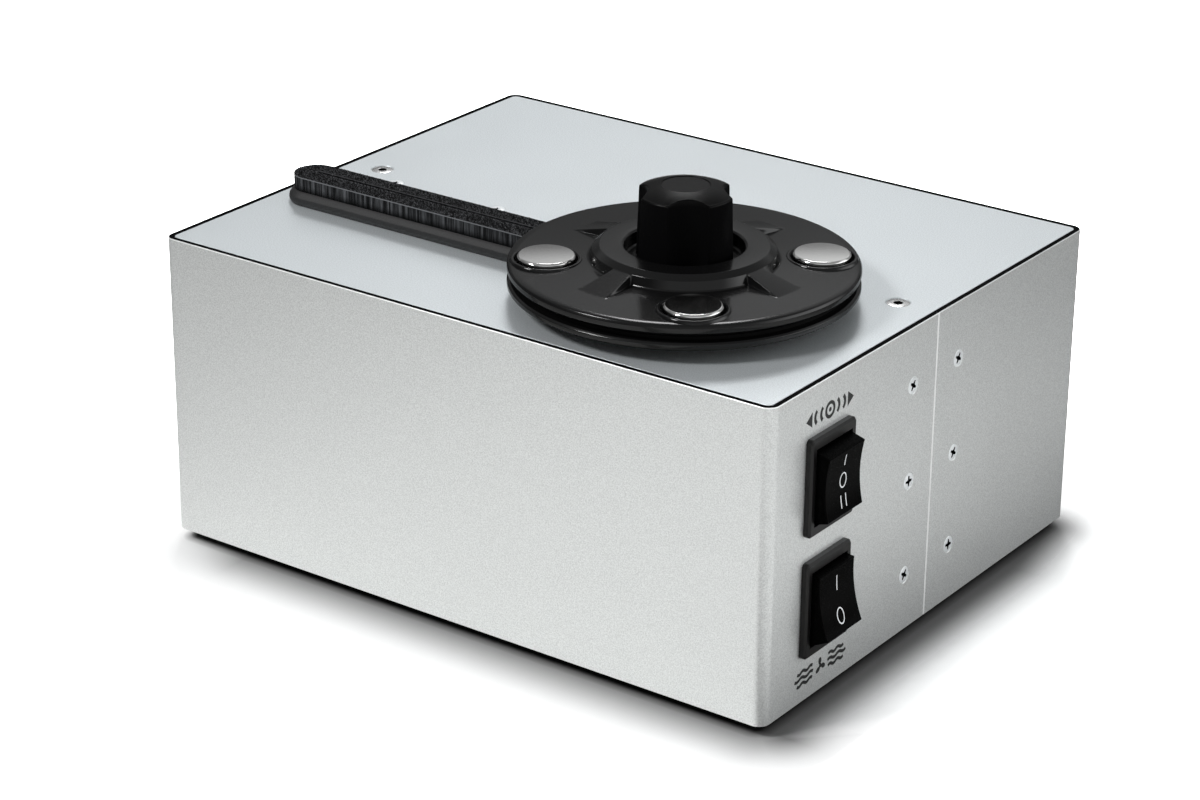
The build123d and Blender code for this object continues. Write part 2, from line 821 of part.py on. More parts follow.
with BuildPart() as tank_lid:
    with BuildSketch(Plane(origin=(tank_mid_x, tank_mid_y, gasket_top))):
        RectangleRounded(
            tank_length + 2 * tank_rim_width,
            tank_width + 2 * tank_rim_width,
            tank_corner_radius + tank_rim_width,
        )
    extrude(amount=lid_thickness)
    with BuildSketch(Plane(origin=(duct_outlet_x, brush_y, gasket_top))):
        Circle(duct_outlet_radius + seat_clearance)
    extrude(amount=lid_thickness, mode=Mode.SUBTRACT)
    with Locations(*[(x, y, lid_top) for x, y in lid_screw_points]):
        Hole(lid_screw_radius + screw_clearance, depth=lid_thickness)
finish(tank_lid, "tank_lid")

lid_screw_length = lid_thickness + gasket_thickness + lid_screw_grip - seat_clearance
lid_screw = pan_screw(lid_screw_radius, lid_screw_head_radius, lid_screw_length)
with BuildPart() as lid_screws:
    with Locations(*[(x, y, lid_top) for x, y in lid_screw_points]):
        add(lid_screw)
finish(lid_screws, "lid_screws")

with BuildPart() as drain_tube:
    with BuildSketch(facing(drain_x, tank_back - tank_wall, drain_z, (0, 1, 0))):
        Circle(drain_radius)
    extrude(amount=back + drain_spout_length - tank_back + tank_wall)
    with BuildSketch(facing(drain_x, back, drain_z, (0, 1, 0))):
        Circle(drain_collar_radius)
    extrude(amount=drain_collar_thickness)
    with BuildSketch(facing(drain_x, tank_back - tank_wall, drain_z, (0, 1, 0))):
        Circle(drain_bore_radius)
    extrude(amount=back + drain_spout_length - tank_back + tank_wall, mode=Mode.SUBTRACT)
finish(drain_tube, "drain_tube")

drain_tip = back + drain_spout_length
with BuildPart() as drain_plug:
    with BuildSketch(facing(drain_x, drain_tip - drain_plug_length, drain_z, (0, 1, 0))):
        Circle(drain_bore_radius - drain_plug_clearance)
    extrude(amount=drain_plug_length + body_gap)
    with BuildSketch(facing(drain_x, drain_tip + body_gap, drain_z, (0, 1, 0))):
        Circle(drain_radius - body_gap)
    extrude(amount=drain_plug_head)
    chamfer(drain_plug.faces().sort_by(Axis.Y)[-1].edges(), drain_plug_head / 3)
finish(drain_plug, "drain_plug")

sleeve_start = tank_back + seal_height
sleeve_end = blower_front - seal_height
with BuildPart() as air_sleeve:
    with BuildSketch(facing(air_x, sleeve_start, air_z, (0, 1, 0))):
        Circle(air_port_radius + seat_clearance + sleeve_thickness)
        Circle(air_port_radius + seat_clearance, mode=Mode.SUBTRACT)
    extrude(amount=sleeve_end - sleeve_start)
finish(air_sleeve, "air_sleeve")


# ---------------------------------------------------------------- vacuum blower

blower_floor = blower_back - blower_wall
impeller_front = blower_front + blower_wall + (blower_depth - 2 * blower_wall - impeller_depth) / 2
impeller_back = impeller_front + impeller_depth

with BuildPart() as blower_housing:
    with BuildSketch(facing(air_x, blower_front, air_z, (0, 1, 0))):
        Circle(blower_radius)
    extrude(amount=blower_depth)
    chamfer(blower_housing.faces().sort_by(Axis.Y)[0].edges(), blower_wall / 2)
    with BuildSketch(facing(air_x, blower_front + blower_wall, air_z, (0, 1, 0))):
        Circle(blower_radius - blower_wall)
    extrude(amount=blower_depth - 2 * blower_wall, mode=Mode.SUBTRACT)
    with BuildSketch(facing(air_x, blower_front - air_port_length, air_z, (0, 1, 0))):
        Circle(air_port_radius)
    extrude(amount=air_port_length)
    with BuildSketch(facing(air_x, blower_front - air_port_length, air_z, (0, 1, 0))):
        Circle(air_port_radius - air_port_wall)
    extrude(amount=air_port_length + blower_wall, mode=Mode.SUBTRACT)
    with BuildSketch(facing(air_x, blower_floor, air_z, (0, 1, 0))):
        Circle(blower_shaft_radius + body_gap)
        with PolarLocations(blower_vent_circle, blower_vent_count):
            Circle(blower_vent_radius)
    extrude(amount=blower_wall, mode=Mode.SUBTRACT)
finish(blower_housing, "blower_housing")

with BuildPart() as blower_shaft:
    with BuildSketch(facing(air_x, impeller_front, air_z, (0, 1, 0))):
        Circle(blower_shaft_radius)
    extrude(amount=blower_motor_back - blower_motor_edge - impeller_front)
finish(blower_shaft, "blower_shaft")

with BuildSketch() as blade:
    with BuildLine():
        ThreePointArc(
            (impeller_hub_radius - blade_thickness, 0),
            (impeller_radius * 0.55, impeller_radius * 0.2),
            (impeller_radius * 0.8, impeller_radius * 0.55),
        )
    trace(line_width=blade_thickness)

with BuildPart() as blower_impeller:
    with BuildSketch(facing(air_x, impeller_back - impeller_plate, air_z, (0, 1, 0))):
        Circle(impeller_radius)
    extrude(amount=impeller_plate)
    with BuildSketch(facing(air_x, impeller_front, air_z, (0, 1, 0))):
        Circle(impeller_hub_radius)
    extrude(amount=impeller_depth)
    with BuildSketch(facing(air_x, impeller_front, air_z, (0, 1, 0))):
        with PolarLocations(0, blade_count):
            add(blade.sketch)
    extrude(amount=impeller_depth)
    with BuildSketch(facing(air_x, impeller_front, air_z, (0, 1, 0))):
        Circle(blower_shaft_radius + thread_clearance)
    extrude(amount=impeller_depth, mode=Mode.SUBTRACT)
finish(blower_impeller, "blower_impeller")

with BuildPart() as blower_motor:
    with BuildSketch(facing(air_x, blower_back, air_z, (0, 1, 0))):
        Circle(blower_motor_radius)
    extrude(amount=blower_motor_length)
    chamfer(blower_motor.faces().sort_by(Axis.Y)[-1].edges(), blower_motor_edge)
    with BuildSketch(facing(air_x, blower_back, air_z, (0, 1, 0))):
        Circle(blower_shaft_radius + running_clearance)
    extrude(amount=blower_motor_length - blower_motor_edge + body_gap, mode=Mode.SUBTRACT)
finish(blower_motor, "blower_motor")

with BuildPart() as blower_bracket:
    with BuildSketch(facing(air_x, blower_bracket_y, floor, (0, 1, 0))):
        with BuildLine():
            bracket_half = blower_bracket_width / 2
            eye_radius = blower_motor_radius + blower_bracket_thickness * 2
            Polyline(
                (-bracket_half, 0),
                (-bracket_half, blower_bracket_thickness * 2),
                (-eye_radius, air_z - floor),
                (eye_radius, air_z - floor),
                (bracket_half, blower_bracket_thickness * 2),
                (bracket_half, 0),
                close=True,
            )
        make_face()
        with Locations((0, air_z - floor)):
            Circle(eye_radius)
            Circle(blower_motor_radius + seat_clearance, mode=Mode.SUBTRACT)
    extrude(amount=-blower_bracket_thickness)
    with BuildSketch(Plane(origin=(air_x, blower_foot_y, floor))):
        Rectangle(blower_bracket_width, blower_bracket_foot)
    extrude(amount=blower_bracket_thickness)
    with Locations(*[(x, y, floor + blower_bracket_thickness) for x, y in blower_foot_points]):
        Hole(m3_radius + screw_clearance, depth=blower_bracket_thickness)
finish(blower_bracket, "blower_bracket")


# ---------------------------------------------------------------- platter drive

def gear_profile(teeth, bore_radius):
    """An involute spur gear's outline, one tooth centred on +X."""
    pitch_radius = gear_module * teeth / 2
    base_radius = pitch_radius * cos(radians(pressure_angle))
    tip_radius = pitch_radius + gear_module
    root_radius = pitch_radius - 1.25 * gear_module
    half_tooth = pi / (2 * teeth) - gear_backlash / (2 * pitch_radius)

    def involute(angle):
        return tan(angle) - angle

    def flank_point(radius, side):
        roll = acos(base_radius / radius)
        angle = half_tooth + involute(radians(pressure_angle)) - involute(roll)
        return radius * cos(angle), side * radius * sin(angle)

    start = max(base_radius, root_radius)
    flank = [start + (tip_radius - start) * i / 3 for i in range(4)]
    foot_x, foot_y = flank_point(start, 1)
    foot_scale = (root_radius - gear_module / 4) / start
    rising = [flank_point(r, 1) for r in flank]
    falling = [flank_point(r, -1) for r in reversed(flank)]
    root = [(foot_x * foot_scale, -foot_y * foot_scale), (foot_x * foot_scale, foot_y * foot_scale)]
    with BuildSketch(mode=Mode.PRIVATE) as tooth:
        with BuildLine():
            Polyline(*rising, *falling, *root, close=True)
        make_face()
    with BuildSketch(mode=Mode.PRIVATE) as gear:
        Circle(root_radius)
        with PolarLocations(0, teeth):
            add(tooth.sketch)
        Circle(bore_radius, mode=Mode.SUBTRACT)
    return gear.sketch


with BuildPart() as drive_motor:
    with BuildSketch(Plane(origin=(motor_x, motor_y, motor_top))):
        Circle(motor_radius)
    extrude(amount=-motor_length)
    chamfer(drive_motor.faces().sort_by(Axis.Z)[0].edges(), motor_plate_thickness / 2)
    with BuildSketch(Plane(origin=(motor_x, motor_y, motor_top))):
        Circle(motor_nose_radius)
    extrude(amount=motor_nose_height)
    with BuildSketch(Plane(origin=(motor_x, motor_y, motor_top + motor_nose_height))):
        Circle(motor_shaft_radius + running_clearance)
    extrude(amount=-(motor_nose_height + shaft_engagement + body_gap), mode=Mode.SUBTRACT)
    with Locations(*[(x, y, motor_top)
                     for x, y in polar_points(motor_x, motor_y, motor_screw_circle, 4, 45)]):
        Hole(m3_radius + thread_clearance, depth=motor_plate_thickness * 2)
finish(drive_motor, "drive_motor")

with BuildPart() as drive_shaft:
    with BuildSketch(Plane(origin=(motor_x, motor_y, motor_top - shaft_engagement))):
        Circle(motor_shaft_radius)
    extrude(amount=teeth_top + gear_module - motor_top + shaft_engagement)
finish(drive_shaft, "drive_shaft")

with BuildPart() as drive_pinion:
    with BuildSketch(Plane(origin=(motor_x, motor_y, gear_bottom))):
        add(gear_profile(pinion_teeth, motor_shaft_radius + thread_clearance))
    extrude(amount=gear_width)
finish(drive_pinion, "drive_pinion")

with BuildPart() as motor_bracket:
    with BuildSketch(facing(0, motor_y, 0, (0, -1, 0))):
        with BuildLine():
            half = motor_bracket_width / 2
            foot = half + motor_bracket_foot
            t = motor_plate_thickness
            Polyline(
                (motor_x - foot, floor),
                (motor_x - half + t, floor),
                (motor_x - half + t, motor_top),
                (motor_x + half - t, motor_top),
                (motor_x + half - t, floor),
                (motor_x + foot, floor),
                (motor_x + foot, floor + t),
                (motor_x + half, floor + t),
                (motor_x + half, motor_plate_top),
                (motor_x - half, motor_plate_top),
                (motor_x - half, floor + t),
                (motor_x - foot, floor + t),
                close=True,
            )
        make_face()
    extrude(amount=motor_bracket_depth / 2, both=True)
    with Locations((motor_x, motor_y, motor_plate_top)):
        Hole(motor_nose_radius + seat_clearance, depth=motor_plate_thickness)
    with Locations(*[(x, y, motor_plate_top)
                     for x, y in polar_points(motor_x, motor_y, motor_screw_circle, 4, 45)]):
        Hole(m3_radius + screw_clearance, depth=motor_plate_thickness)
    with Locations(*[(x, y, floor + motor_plate_thickness) for x, y in motor_foot_points]):
        Hole(m3_radius + screw_clearance, depth=motor_plate_thickness)
finish(motor_bracket, "motor_bracket")

motor_screw = pan_screw(m3_radius, pan_head_radius, motor_plate_thickness * 2)
with BuildPart() as motor_screws:
    with Locations(*[(x, y, motor_plate_top)
                     for x, y in polar_points(motor_x, motor_y, motor_screw_circle, 4, 45)]):
        add(motor_screw)
finish(motor_screws, "motor_screws")

motor_foot_screw = pan_screw(m3_radius, pan_head_radius, motor_plate_thickness + base_plate_thickness)
blower_foot_screw = pan_screw(
    m3_radius, pan_head_radius, blower_bracket_thickness + base_plate_thickness
)
with BuildPart() as bracket_screws:
    with Locations(*[(x, y, floor + motor_plate_thickness) for x, y in motor_foot_points]):
        add(motor_foot_screw)
    with Locations(*[(x, y, floor + blower_bracket_thickness) for x, y in blower_foot_points]):
        add(blower_foot_screw)
finish(bracket_screws, "bracket_screws")

with BuildPart() as bearing_housing:
    with BuildSketch(Plane.XZ.offset(-platter_y)):
        with BuildLine():
            x0 = platter_x + bush_radius + seat_clearance
            x1 = platter_x + bearing_radius
            x2 = platter_x + bearing_flange_radius
            Polyline(
                (x0, bearing_bottom),
                (x1, bearing_bottom),
                (x1, deck_under - bearing_flange_thickness),
                (x2, deck_under - bearing_flange_thickness),
                (x2, deck_under),
                (x1, deck_under),
                (x1, deck),
                (x0, deck),
                close=True,
            )
        make_face()
    revolve(axis=Axis((platter_x, platter_y, 0), (0, 0, 1)))
    with Locations(*[(x, y, deck_under) for x, y in bearing_screws_xy]):
        Hole(m3_radius + thread_clearance, depth=bearing_flange_thickness)
finish(bearing_housing, "bearing_housing")

with BuildPart() as bearing_screws:
    with Locations(*[(x, y, deck) for x, y in bearing_screws_xy]):
        add(m3_screw)
finish(bearing_screws, "bearing_screws")

with BuildPart() as spindle_bushes:
    for seat_z, outward in ((deck, 1), (bearing_bottom, -1)):
        with BuildSketch(facing(platter_x, platter_y, seat_z, (0, 0, outward))):
            Circle(bush_flange_radius)
        extrude(amount=bush_flange)
        with BuildSketch(facing(platter_x, platter_y, seat_z, (0, 0, outward))):
            Circle(bush_radius)
        extrude(amount=-bush_length)
        with BuildSketch(facing(platter_x, platter_y, seat_z + outward * bush_flange, (0, 0, outward))):
            Circle(spindle_radius + running_clearance)
        extrude(amount=-(bush_length + bush_flange), mode=Mode.SUBTRACT)
finish(spindle_bushes, "spindle_bushes")

with BuildPart() as run_capacitor:
    capacitor_x = right - capacitor_from_right
    capacitor_y = back - capacitor_from_back
    with BuildSketch(Plane(origin=(capacitor_x, capacitor_y, floor))):
        Circle(capacitor_boss_radius)
    extrude(amount=capacitor_boss_height)
    with BuildSketch(Plane(origin=(capacitor_x, capacitor_y, floor + capacitor_boss_height))):
        Circle(capacitor_radius)
    extrude(amount=capacitor_height)
    chamfer(run_capacitor.faces().sort_by(Axis.Z)[-1].edges(), capacitor_boss_height / 2)
finish(run_capacitor, "run_capacitor")


# ---------------------------------------------------------------- turntable

flange_bottom = deck + bush_flange + body_gap
boss_top = platter_top
platter_axis = Axis((platter_x, platter_y, 0), (0, 0, 1))
platter_screws_xy = polar_points(platter_x, platter_y, spindle_screw_circle, 3, 30)

with BuildPart() as spindle:
    with BuildSketch(Plane.XZ.offset(-platter_y)):
        with BuildLine():
            x = platter_x
            groove_top = gear_bottom
            groove_bottom = gear_bottom - clip_thickness
            Polyline(
                (x, spindle_bottom),
                (x + spindle_radius, spindle_bottom),
                (x + spindle_radius, groove_bottom),
                (x + spindle_radius - clip_groove_depth, groove_bottom),
                (x + spindle_radius - clip_groove_depth, groove_top),
                (x + spindle_radius, groove_top),
                (x + spindle_radius, flange_bottom),
                (x + spindle_flange_radius, flange_bottom),
                (x + spindle_flange_radius, platter_bottom),
                (x + spindle_boss_radius, platter_bottom),
                (x + spindle_boss_radius, boss_top),
                (x + pin_radius, boss_top),
                (x + pin_radius, platter_top + pin_height - pin_radius / 2),
                (x + pin_radius / 2, platter_top + pin_height),
                (x, platter_top + pin_height),
                close=True,
            )
        make_face()
    revolve(axis=platter_axis)
    with Locations(*[(x, y, platter_bottom) for x, y in platter_screws_xy]):
        Hole(m3_radius + thread_clearance, depth=platter_bottom - flange_bottom)
finish(spindle, "spindle")

with BuildPart() as spindle_gear:
    with BuildSketch(Plane(origin=(platter_x, platter_y, gear_bottom))):
        add(gear_profile(gear_teeth, spindle_radius + thread_clearance))
    extrude(amount=gear_width)
    with BuildSketch(Plane(origin=(platter_x, platter_y, teeth_top))):
        Circle(gear_hub_radius)
        Circle(spindle_radius + thread_clearance, mode=Mode.SUBTRACT)
    extrude(amount=gear_hub_height)
finish(spindle_gear, "spindle_gear")

with BuildPart() as spindle_clip:
    with BuildSketch(Plane(origin=(platter_x, platter_y, gear_bottom - clip_thickness))):
        Circle(spindle_radius + clip_width)
        Circle(spindle_radius - clip_groove_depth + thread_clearance, mode=Mode.SUBTRACT)
        with Locations((spindle_radius, 0)):
            Rectangle(2 * clip_width, spindle_radius, mode=Mode.SUBTRACT)
    extrude(amount=clip_thickness)
finish(spindle_clip, "spindle_clip")

keeper_thickness = platter_thickness / 2
keeper_points = polar_points(platter_x, platter_y, magnet_circle, spoke_count, magnet_azimuth)
with BuildPart() as platter:
    with BuildSketch(Plane.XZ.offset(-platter_y)):
        with BuildLine():
            x = platter_x
            Polyline(
                (x + spindle_boss_radius + seat_clearance, platter_bottom),
                (x + platter_radius - 2 * platter_rim_bevel, platter_bottom),
                (x + platter_radius, platter_bottom + platter_rim_bevel),
                (x + platter_radius, platter_top - platter_rim_bevel),
                (x + platter_radius - platter_rim_bevel / 2, platter_top),
                (x + spindle_boss_radius + seat_clearance, platter_top),
                close=True,
            )
        make_face()
    revolve(axis=platter_axis)
    with Locations(*[(x, y, platter_top) for x, y in platter_screws_xy]):
        countersunk_hole(m3_radius, m3_head_radius, platter_thickness)
    with BuildSketch(Plane.XY.offset(platter_top)):
        with Locations(*keeper_points):
            Circle(magnet_radius + seat_clearance)
    extrude(amount=-keeper_thickness, mode=Mode.SUBTRACT)
finish(platter, "platter")

platter_screw_length = platter_top - flange_bottom
platter_screw = countersunk_screw(m3_radius, m3_head_radius, platter_screw_length)
with BuildPart() as platter_screws:
    with Locations(*[(x, y, platter_top) for x, y in platter_screws_xy]):
        add(platter_screw)
finish(platter_screws, "platter_screws")

with BuildPart() as platter_keepers:
    with BuildSketch(Plane.XY.offset(platter_top - keeper_thickness)):
        with Locations(*keeper_points):
            Circle(magnet_radius)
    extrude(amount=keeper_thickness)
finish(platter_keepers, "platter_keepers")

with BuildPart() as platter_mat:
    with BuildSketch(Plane(origin=(platter_x, platter_y, platter_top))):
        Circle(pad_outer_radius)
        Circle(pad_inner_radius, mode=Mode.SUBTRACT)
    extrude(amount=pad_thickness)
finish(platter_mat, "platter_mat")


# ---------------------------------------------------------------- magnetic clamp

with BuildPart() as clamp_seal:
    with BuildSketch(Plane(origin=(platter_x, platter_y, clamp_bottom))):
        Circle(pad_outer_radius)
        Circle(pad_inner_radius, mode=Mode.SUBTRACT)
    extrude(amount=-(record_gap - pad_thickness - body_gap))
finish(clamp_seal, "clamp_seal")

knob_screw_points = polar_points(
    platter_x, platter_y, knob_screw_circle, spoke_count, magnet_azimuth + 180 / spoke_count
)
spoke_azimuths = [magnet_azimuth + (i + 0.5) * 360 / spoke_count for i in range(spoke_count)]

rim_radius = clamp_radius - clamp_rim_band
hub_foot = clamp_surface + clamp_crown
crown_slope = clamp_crown / (rim_radius - clamp_hub_radius)
spoke_foot = clamp_surface + crown_slope * (rim_radius - spoke_foot_radius)
shoulder_radius = clamp_hub_radius - clamp_hub_lean
shoulder = hub_top - clamp_hub_shoulder
core_top = hub_top - clamp_core_wall

with BuildPart() as clamp_disc:
    with BuildSketch(Plane.XZ.offset(-platter_y)):
        with BuildLine():
            x = platter_x
            Polyline(
                (x + knob_spigot_radius + seat_clearance, clamp_bottom),
                (x + clamp_radius - clamp_lower_edge, clamp_bottom),
                (x + clamp_radius, clamp_bottom + clamp_lower_edge),
                (x + clamp_radius, clamp_surface - 2 * clamp_upper_edge),
                (x + clamp_radius - clamp_upper_edge, clamp_surface - clamp_upper_edge),
                (x + rim_radius, clamp_surface),
                (x + clamp_hub_radius, hub_foot),
                (x + shoulder_radius, shoulder),
                (x + shoulder_radius - clamp_hub_bevel, hub_top),
                (x + clamp_recess_radius, hub_top),
                (x + clamp_recess_radius, clamp_floor),
                (x + knob_spigot_radius + seat_clearance, clamp_floor),
                close=True,
            )
        make_face()
    revolve(axis=platter_axis)
    for azimuth in spoke_azimuths:
        with BuildSketch(radial_plane(platter_x, platter_y, azimuth)):
            with BuildLine():
                Polyline(
                    (clamp_recess_radius + clamp_hub_bevel, clamp_surface),
                    (clamp_recess_radius + clamp_hub_bevel, hub_top),
                    (shoulder_radius - clamp_hub_bevel, hub_top),
                    (shoulder_radius, shoulder),
                    (spoke_foot_radius, spoke_foot),
                    (spoke_foot_radius, clamp_surface),
                    close=True,
                )
            make_face()
        extrude(amount=spoke_width / 2, both=True)
    with BuildSketch(Plane.XY.offset(clamp_surface)):
        with Locations(*keeper_points):
            Circle(magnet_radius + seat_rim_width)
    extrude(amount=seat_rim_height, taper=seat_rim_draft)
    with BuildSketch(Plane.XY.offset(magnet_top - magnet_thickness)):
        with Locations(*keeper_points):
            Circle(magnet_radius + seat_clearance)
    extrude(amount=magnet_thickness, mode=Mode.SUBTRACT)
    with BuildSketch(Plane(origin=(platter_x, platter_y, clamp_bottom))):
        Circle(clamp_hub_radius - 2 * clamp_core_wall)
        Circle(clamp_recess_radius + clamp_core_wall, mode=Mode.SUBTRACT)
        with PolarLocations(0, 2 * spoke_count, magnet_azimuth):
            with Locations((clamp_hub_radius / 2, 0)):
                Rectangle(clamp_hub_radius, clamp_core_wall, mode=Mode.SUBTRACT)
    extrude(amount=core_top - clamp_bottom, mode=Mode.SUBTRACT)
    with Locations(*[(x, y, clamp_floor) for x, y in knob_screw_points]):
        Hole(m3_radius + screw_clearance, depth=clamp_floor_thickness)
finish(clamp_disc, "clamp_disc")

with BuildPart() as clamp_magnets:
    with BuildSketch(Plane.XY.offset(magnet_top - magnet_thickness)):
        with Locations(*keeper_points):
            Circle(magnet_radius)
    extrude(amount=magnet_thickness)
    chamfer(clamp_magnets.faces().group_by(Axis.Z)[-1].edges(), magnet_edge)
finish(clamp_magnets, "clamp_magnets")

knob_slope = degrees(atan((knob_radius - knob_top_radius) / knob_height))
flute_distance = knob_radius - knob_flute_depth + knob_flute_radius
# The domed top is part of a ball that passes through its edge and the dish's edge.
dome_drop = (knob_top_radius**2 - knob_dish_radius**2 - knob_dome_rise**2) / (2 * knob_dome_rise)
dome_centre = knob_edge - dome_drop
dome_radius = sqrt(knob_top_radius**2 + dome_drop**2)
with BuildPart() as clamp_knob:
    with BuildSketch(Plane(origin=(platter_x, platter_y, clamp_floor))):
        Circle(knob_radius)
        with PolarLocations(flute_distance, spoke_count, magnet_azimuth):
            Circle(knob_flute_radius, mode=Mode.SUBTRACT)
    extrude(amount=knob_height + knob_dome_rise, taper=knob_slope)
    with Locations((platter_x, platter_y, dome_centre)):
        Sphere(dome_radius, mode=Mode.INTERSECT)
    with BuildSketch(Plane(origin=(platter_x, platter_y, clamp_floor))):
        Circle(knob_top_radius - knob_flute_depth - knob_wall)
        Circle(pin_radius + running_clearance + knob_wall, mode=Mode.SUBTRACT)
        with PolarLocations(knob_screw_circle, spoke_count, magnet_azimuth + 180 / spoke_count):
            Circle(m3_radius + knob_wall / 2, mode=Mode.SUBTRACT)
    extrude(amount=knob_height - knob_wall, mode=Mode.SUBTRACT)
    with BuildSketch(Plane(origin=(platter_x, platter_y, knob_top - knob_dish_depth))):
        Circle(knob_dish_radius)
    extrude(amount=knob_dome_rise, mode=Mode.SUBTRACT)
    with BuildSketch(Plane(origin=(platter_x, platter_y, clamp_floor))):
        Circle(knob_spigot_radius)
        Circle(pin_radius + running_clearance + knob_wall - 0.5, mode=Mode.SUBTRACT)
    extrude(amount=-(clamp_floor_thickness - body_gap))
    with BuildSketch(Plane(origin=(platter_x, platter_y, clamp_bottom + body_gap))):
        Circle(pin_radius + running_clearance + knob_wall)
    extrude(amount=knob_height - knob_wall)
    with BuildSketch(Plane(origin=(platter_x, platter_y, clamp_bottom + body_gap))):
        Circle(pin_radius + running_clearance)
    extrude(amount=platter_top + pin_height + body_gap - clamp_bottom, mode=Mode.SUBTRACT)
    with Locations(*[facing(x, y, clamp_floor, (0, 0, -1)) for x, y in knob_screw_points]):
        Hole(m3_radius + thread_clearance, depth=side_screw_length)
finish(clamp_knob, "clamp_knob")

clamp_screw_length = clamp_floor_thickness + side_screw_length - screw_tip_gap
clamp_screw = pan_screw(m3_radius, pan_head_radius, clamp_screw_length)
with BuildPart() as clamp_screws:
    with Locations(*[facing(x, y, clamp_bottom, (0, 0, -1)) for x, y in knob_screw_points]):
        add(clamp_screw)
finish(clamp_screws, "clamp_screws")


# ---------------------------------------------------------------- switches

def switch_body(z):
    """A snap-in rocker switch's housing with its bezel, open towards +X."""
    with BuildPart() as body:
        with BuildSketch(facing(right, switch_y, z, (1, 0, 0))):
            RectangleRounded(bezel_width, bezel_height, bezel_corner_radius)
        extrude(amount=bezel_thickness)
        chamfer(body.faces().sort_by(Axis.X)[-1].outer_wire().edges(), bezel_edge)
        with BuildSketch(facing(right, switch_y, z, (1, 0, 0))):
            Rectangle(switch_body_width, switch_body_height)
        extrude(amount=-switch_body_depth)
        with BuildSketch(facing(bezel_face, switch_y, z, (1, 0, 0))):
            Rectangle(switch_opening_width, switch_opening_height)
        extrude(amount=-switch_cavity_depth, mode=Mode.SUBTRACT)
        with BuildSketch(facing(pivot_x, switch_y, z, (0, 1, 0))):
            Circle(rocker_pin_radius + thread_clearance)
        extrude(amount=switch_body_width / 2, both=True, mode=Mode.SUBTRACT)
    return body


def rocker(z, tilt):
    """A rocker, dished along its face, turned about its pivot by the tilt in degrees."""
    tip = rocker_pivot_depth + rocker_proud
    lean = tan(radians(rocker_end_lean))
    half_tip = rocker_half_length - rocker_proud * lean
    half_low = rocker_half_length + rocker_pivot_depth * lean / 2
    with BuildPart() as piece:
        with BuildSketch(Plane.XZ.offset(-switch_y)) as profile:
            with Locations(Location((pivot_x, z), -tilt)):
                with BuildSketch(Plane.XY, mode=Mode.PRIVATE) as outline:
                    with BuildLine():
                        Line((-rocker_skirt, -half_low), (rocker_pivot_depth / 2, -half_low))
                        Line((rocker_pivot_depth / 2, -half_low), (tip, -half_tip))
                        ThreePointArc((tip, -half_tip), (tip - rocker_dish, 0), (tip, half_tip))
                        Line((tip, half_tip), (rocker_pivot_depth / 2, half_low))
                        Line((rocker_pivot_depth / 2, half_low), (-rocker_skirt, half_low))
                        Line((-rocker_skirt, half_low), (-rocker_skirt, -half_low))
                    make_face()
                    Circle(rocker_boss_radius)
                add(outline.sketch)
        extrude(amount=rocker_width / 2, both=True)
        with BuildSketch(facing(pivot_x, switch_y, z, (0, 1, 0))):
            Circle(rocker_pin_radius + running_clearance)
        extrude(amount=rocker_width / 2, both=True, mode=Mode.SUBTRACT)
    return piece


switch_zs = {name: case_bottom + height for name, height in switch_heights.items()}
motor_switch_body = switch_body(switch_zs["motor"])
finish(motor_switch_body, "motor_switch_body")
vacuum_switch_body = switch_body(switch_zs["vacuum"])
finish(vacuum_switch_body, "vacuum_switch_body")
motor_rocker = rocker(switch_zs["motor"], 0)
finish(motor_rocker, "motor_rocker")
vacuum_rocker = rocker(switch_zs["vacuum"], -rocker_tilt)
finish(vacuum_rocker, "vacuum_rocker")

with BuildPart() as rocker_pins:
    for z in switch_zs.values():
        with BuildSketch(facing(pivot_x, switch_y, z, (0, 1, 0))):
            Circle(rocker_pin_radius)
        extrude(amount=switch_body_width / 2, both=True)
finish(rocker_pins, "rocker_pins")

with BuildPart() as switch_terminals:
    for z in switch_zs.values():
        with BuildSketch(facing(right - switch_body_depth, switch_y, z, (-1, 0, 0))):
            with GridLocations(1, terminal_pitch, 1, 3):
                Rectangle(terminal_width, terminal_thickness)
        extrude(amount=terminal_length)
finish(switch_terminals, "switch_terminals")


# ---------------------------------------------------------------- mains inlet

inlet_face = back + inlet_flange_thickness
with BuildPart() as mains_inlet:
    with BuildSketch(facing(inlet_x, back, inlet_z, (0, 1, 0))):
        RectangleRounded(inlet_flange_width, inlet_flange_height, bezel_corner_radius)
    extrude(amount=inlet_flange_thickness)
    with BuildSketch(facing(inlet_x, back, inlet_z, (0, 1, 0))):
        Rectangle(inlet_body_width, inlet_body_height)
    extrude(amount=-inlet_body_depth)
    with BuildSketch(facing(inlet_x, inlet_face, inlet_z, (0, 1, 0))):
        Rectangle(inlet_cavity_width, inlet_cavity_height)
    extrude(amount=-inlet_cavity_depth, mode=Mode.SUBTRACT)
finish(mains_inlet, "mains_inlet")

inlet_floor = inlet_face - inlet_cavity_depth
with BuildPart() as inlet_pins:
    with BuildSketch(facing(inlet_x, inlet_floor, inlet_z, (0, 1, 0))):
        with Locations(
            (-inlet_pin_pitch / 2, inlet_pin_raise),
            (0, inlet_pin_raise + inlet_pin_width),
            (inlet_pin_pitch / 2, inlet_pin_raise),
        ):
            Rectangle(inlet_pin_thickness, inlet_pin_width)
    extrude(amount=inlet_cavity_depth - inlet_pin_recess)
    with BuildSketch(facing(inlet_x, back - inlet_body_depth, inlet_z, (0, -1, 0))):
        with GridLocations(inlet_pin_pitch / 2, 1, 3, 1):
            Rectangle(inlet_pin_thickness / 2, inlet_pin_width)
    extrude(amount=inlet_tab_length)
finish(inlet_pins, "inlet_pins")
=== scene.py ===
import json
import math
import random
from contextlib import contextmanager

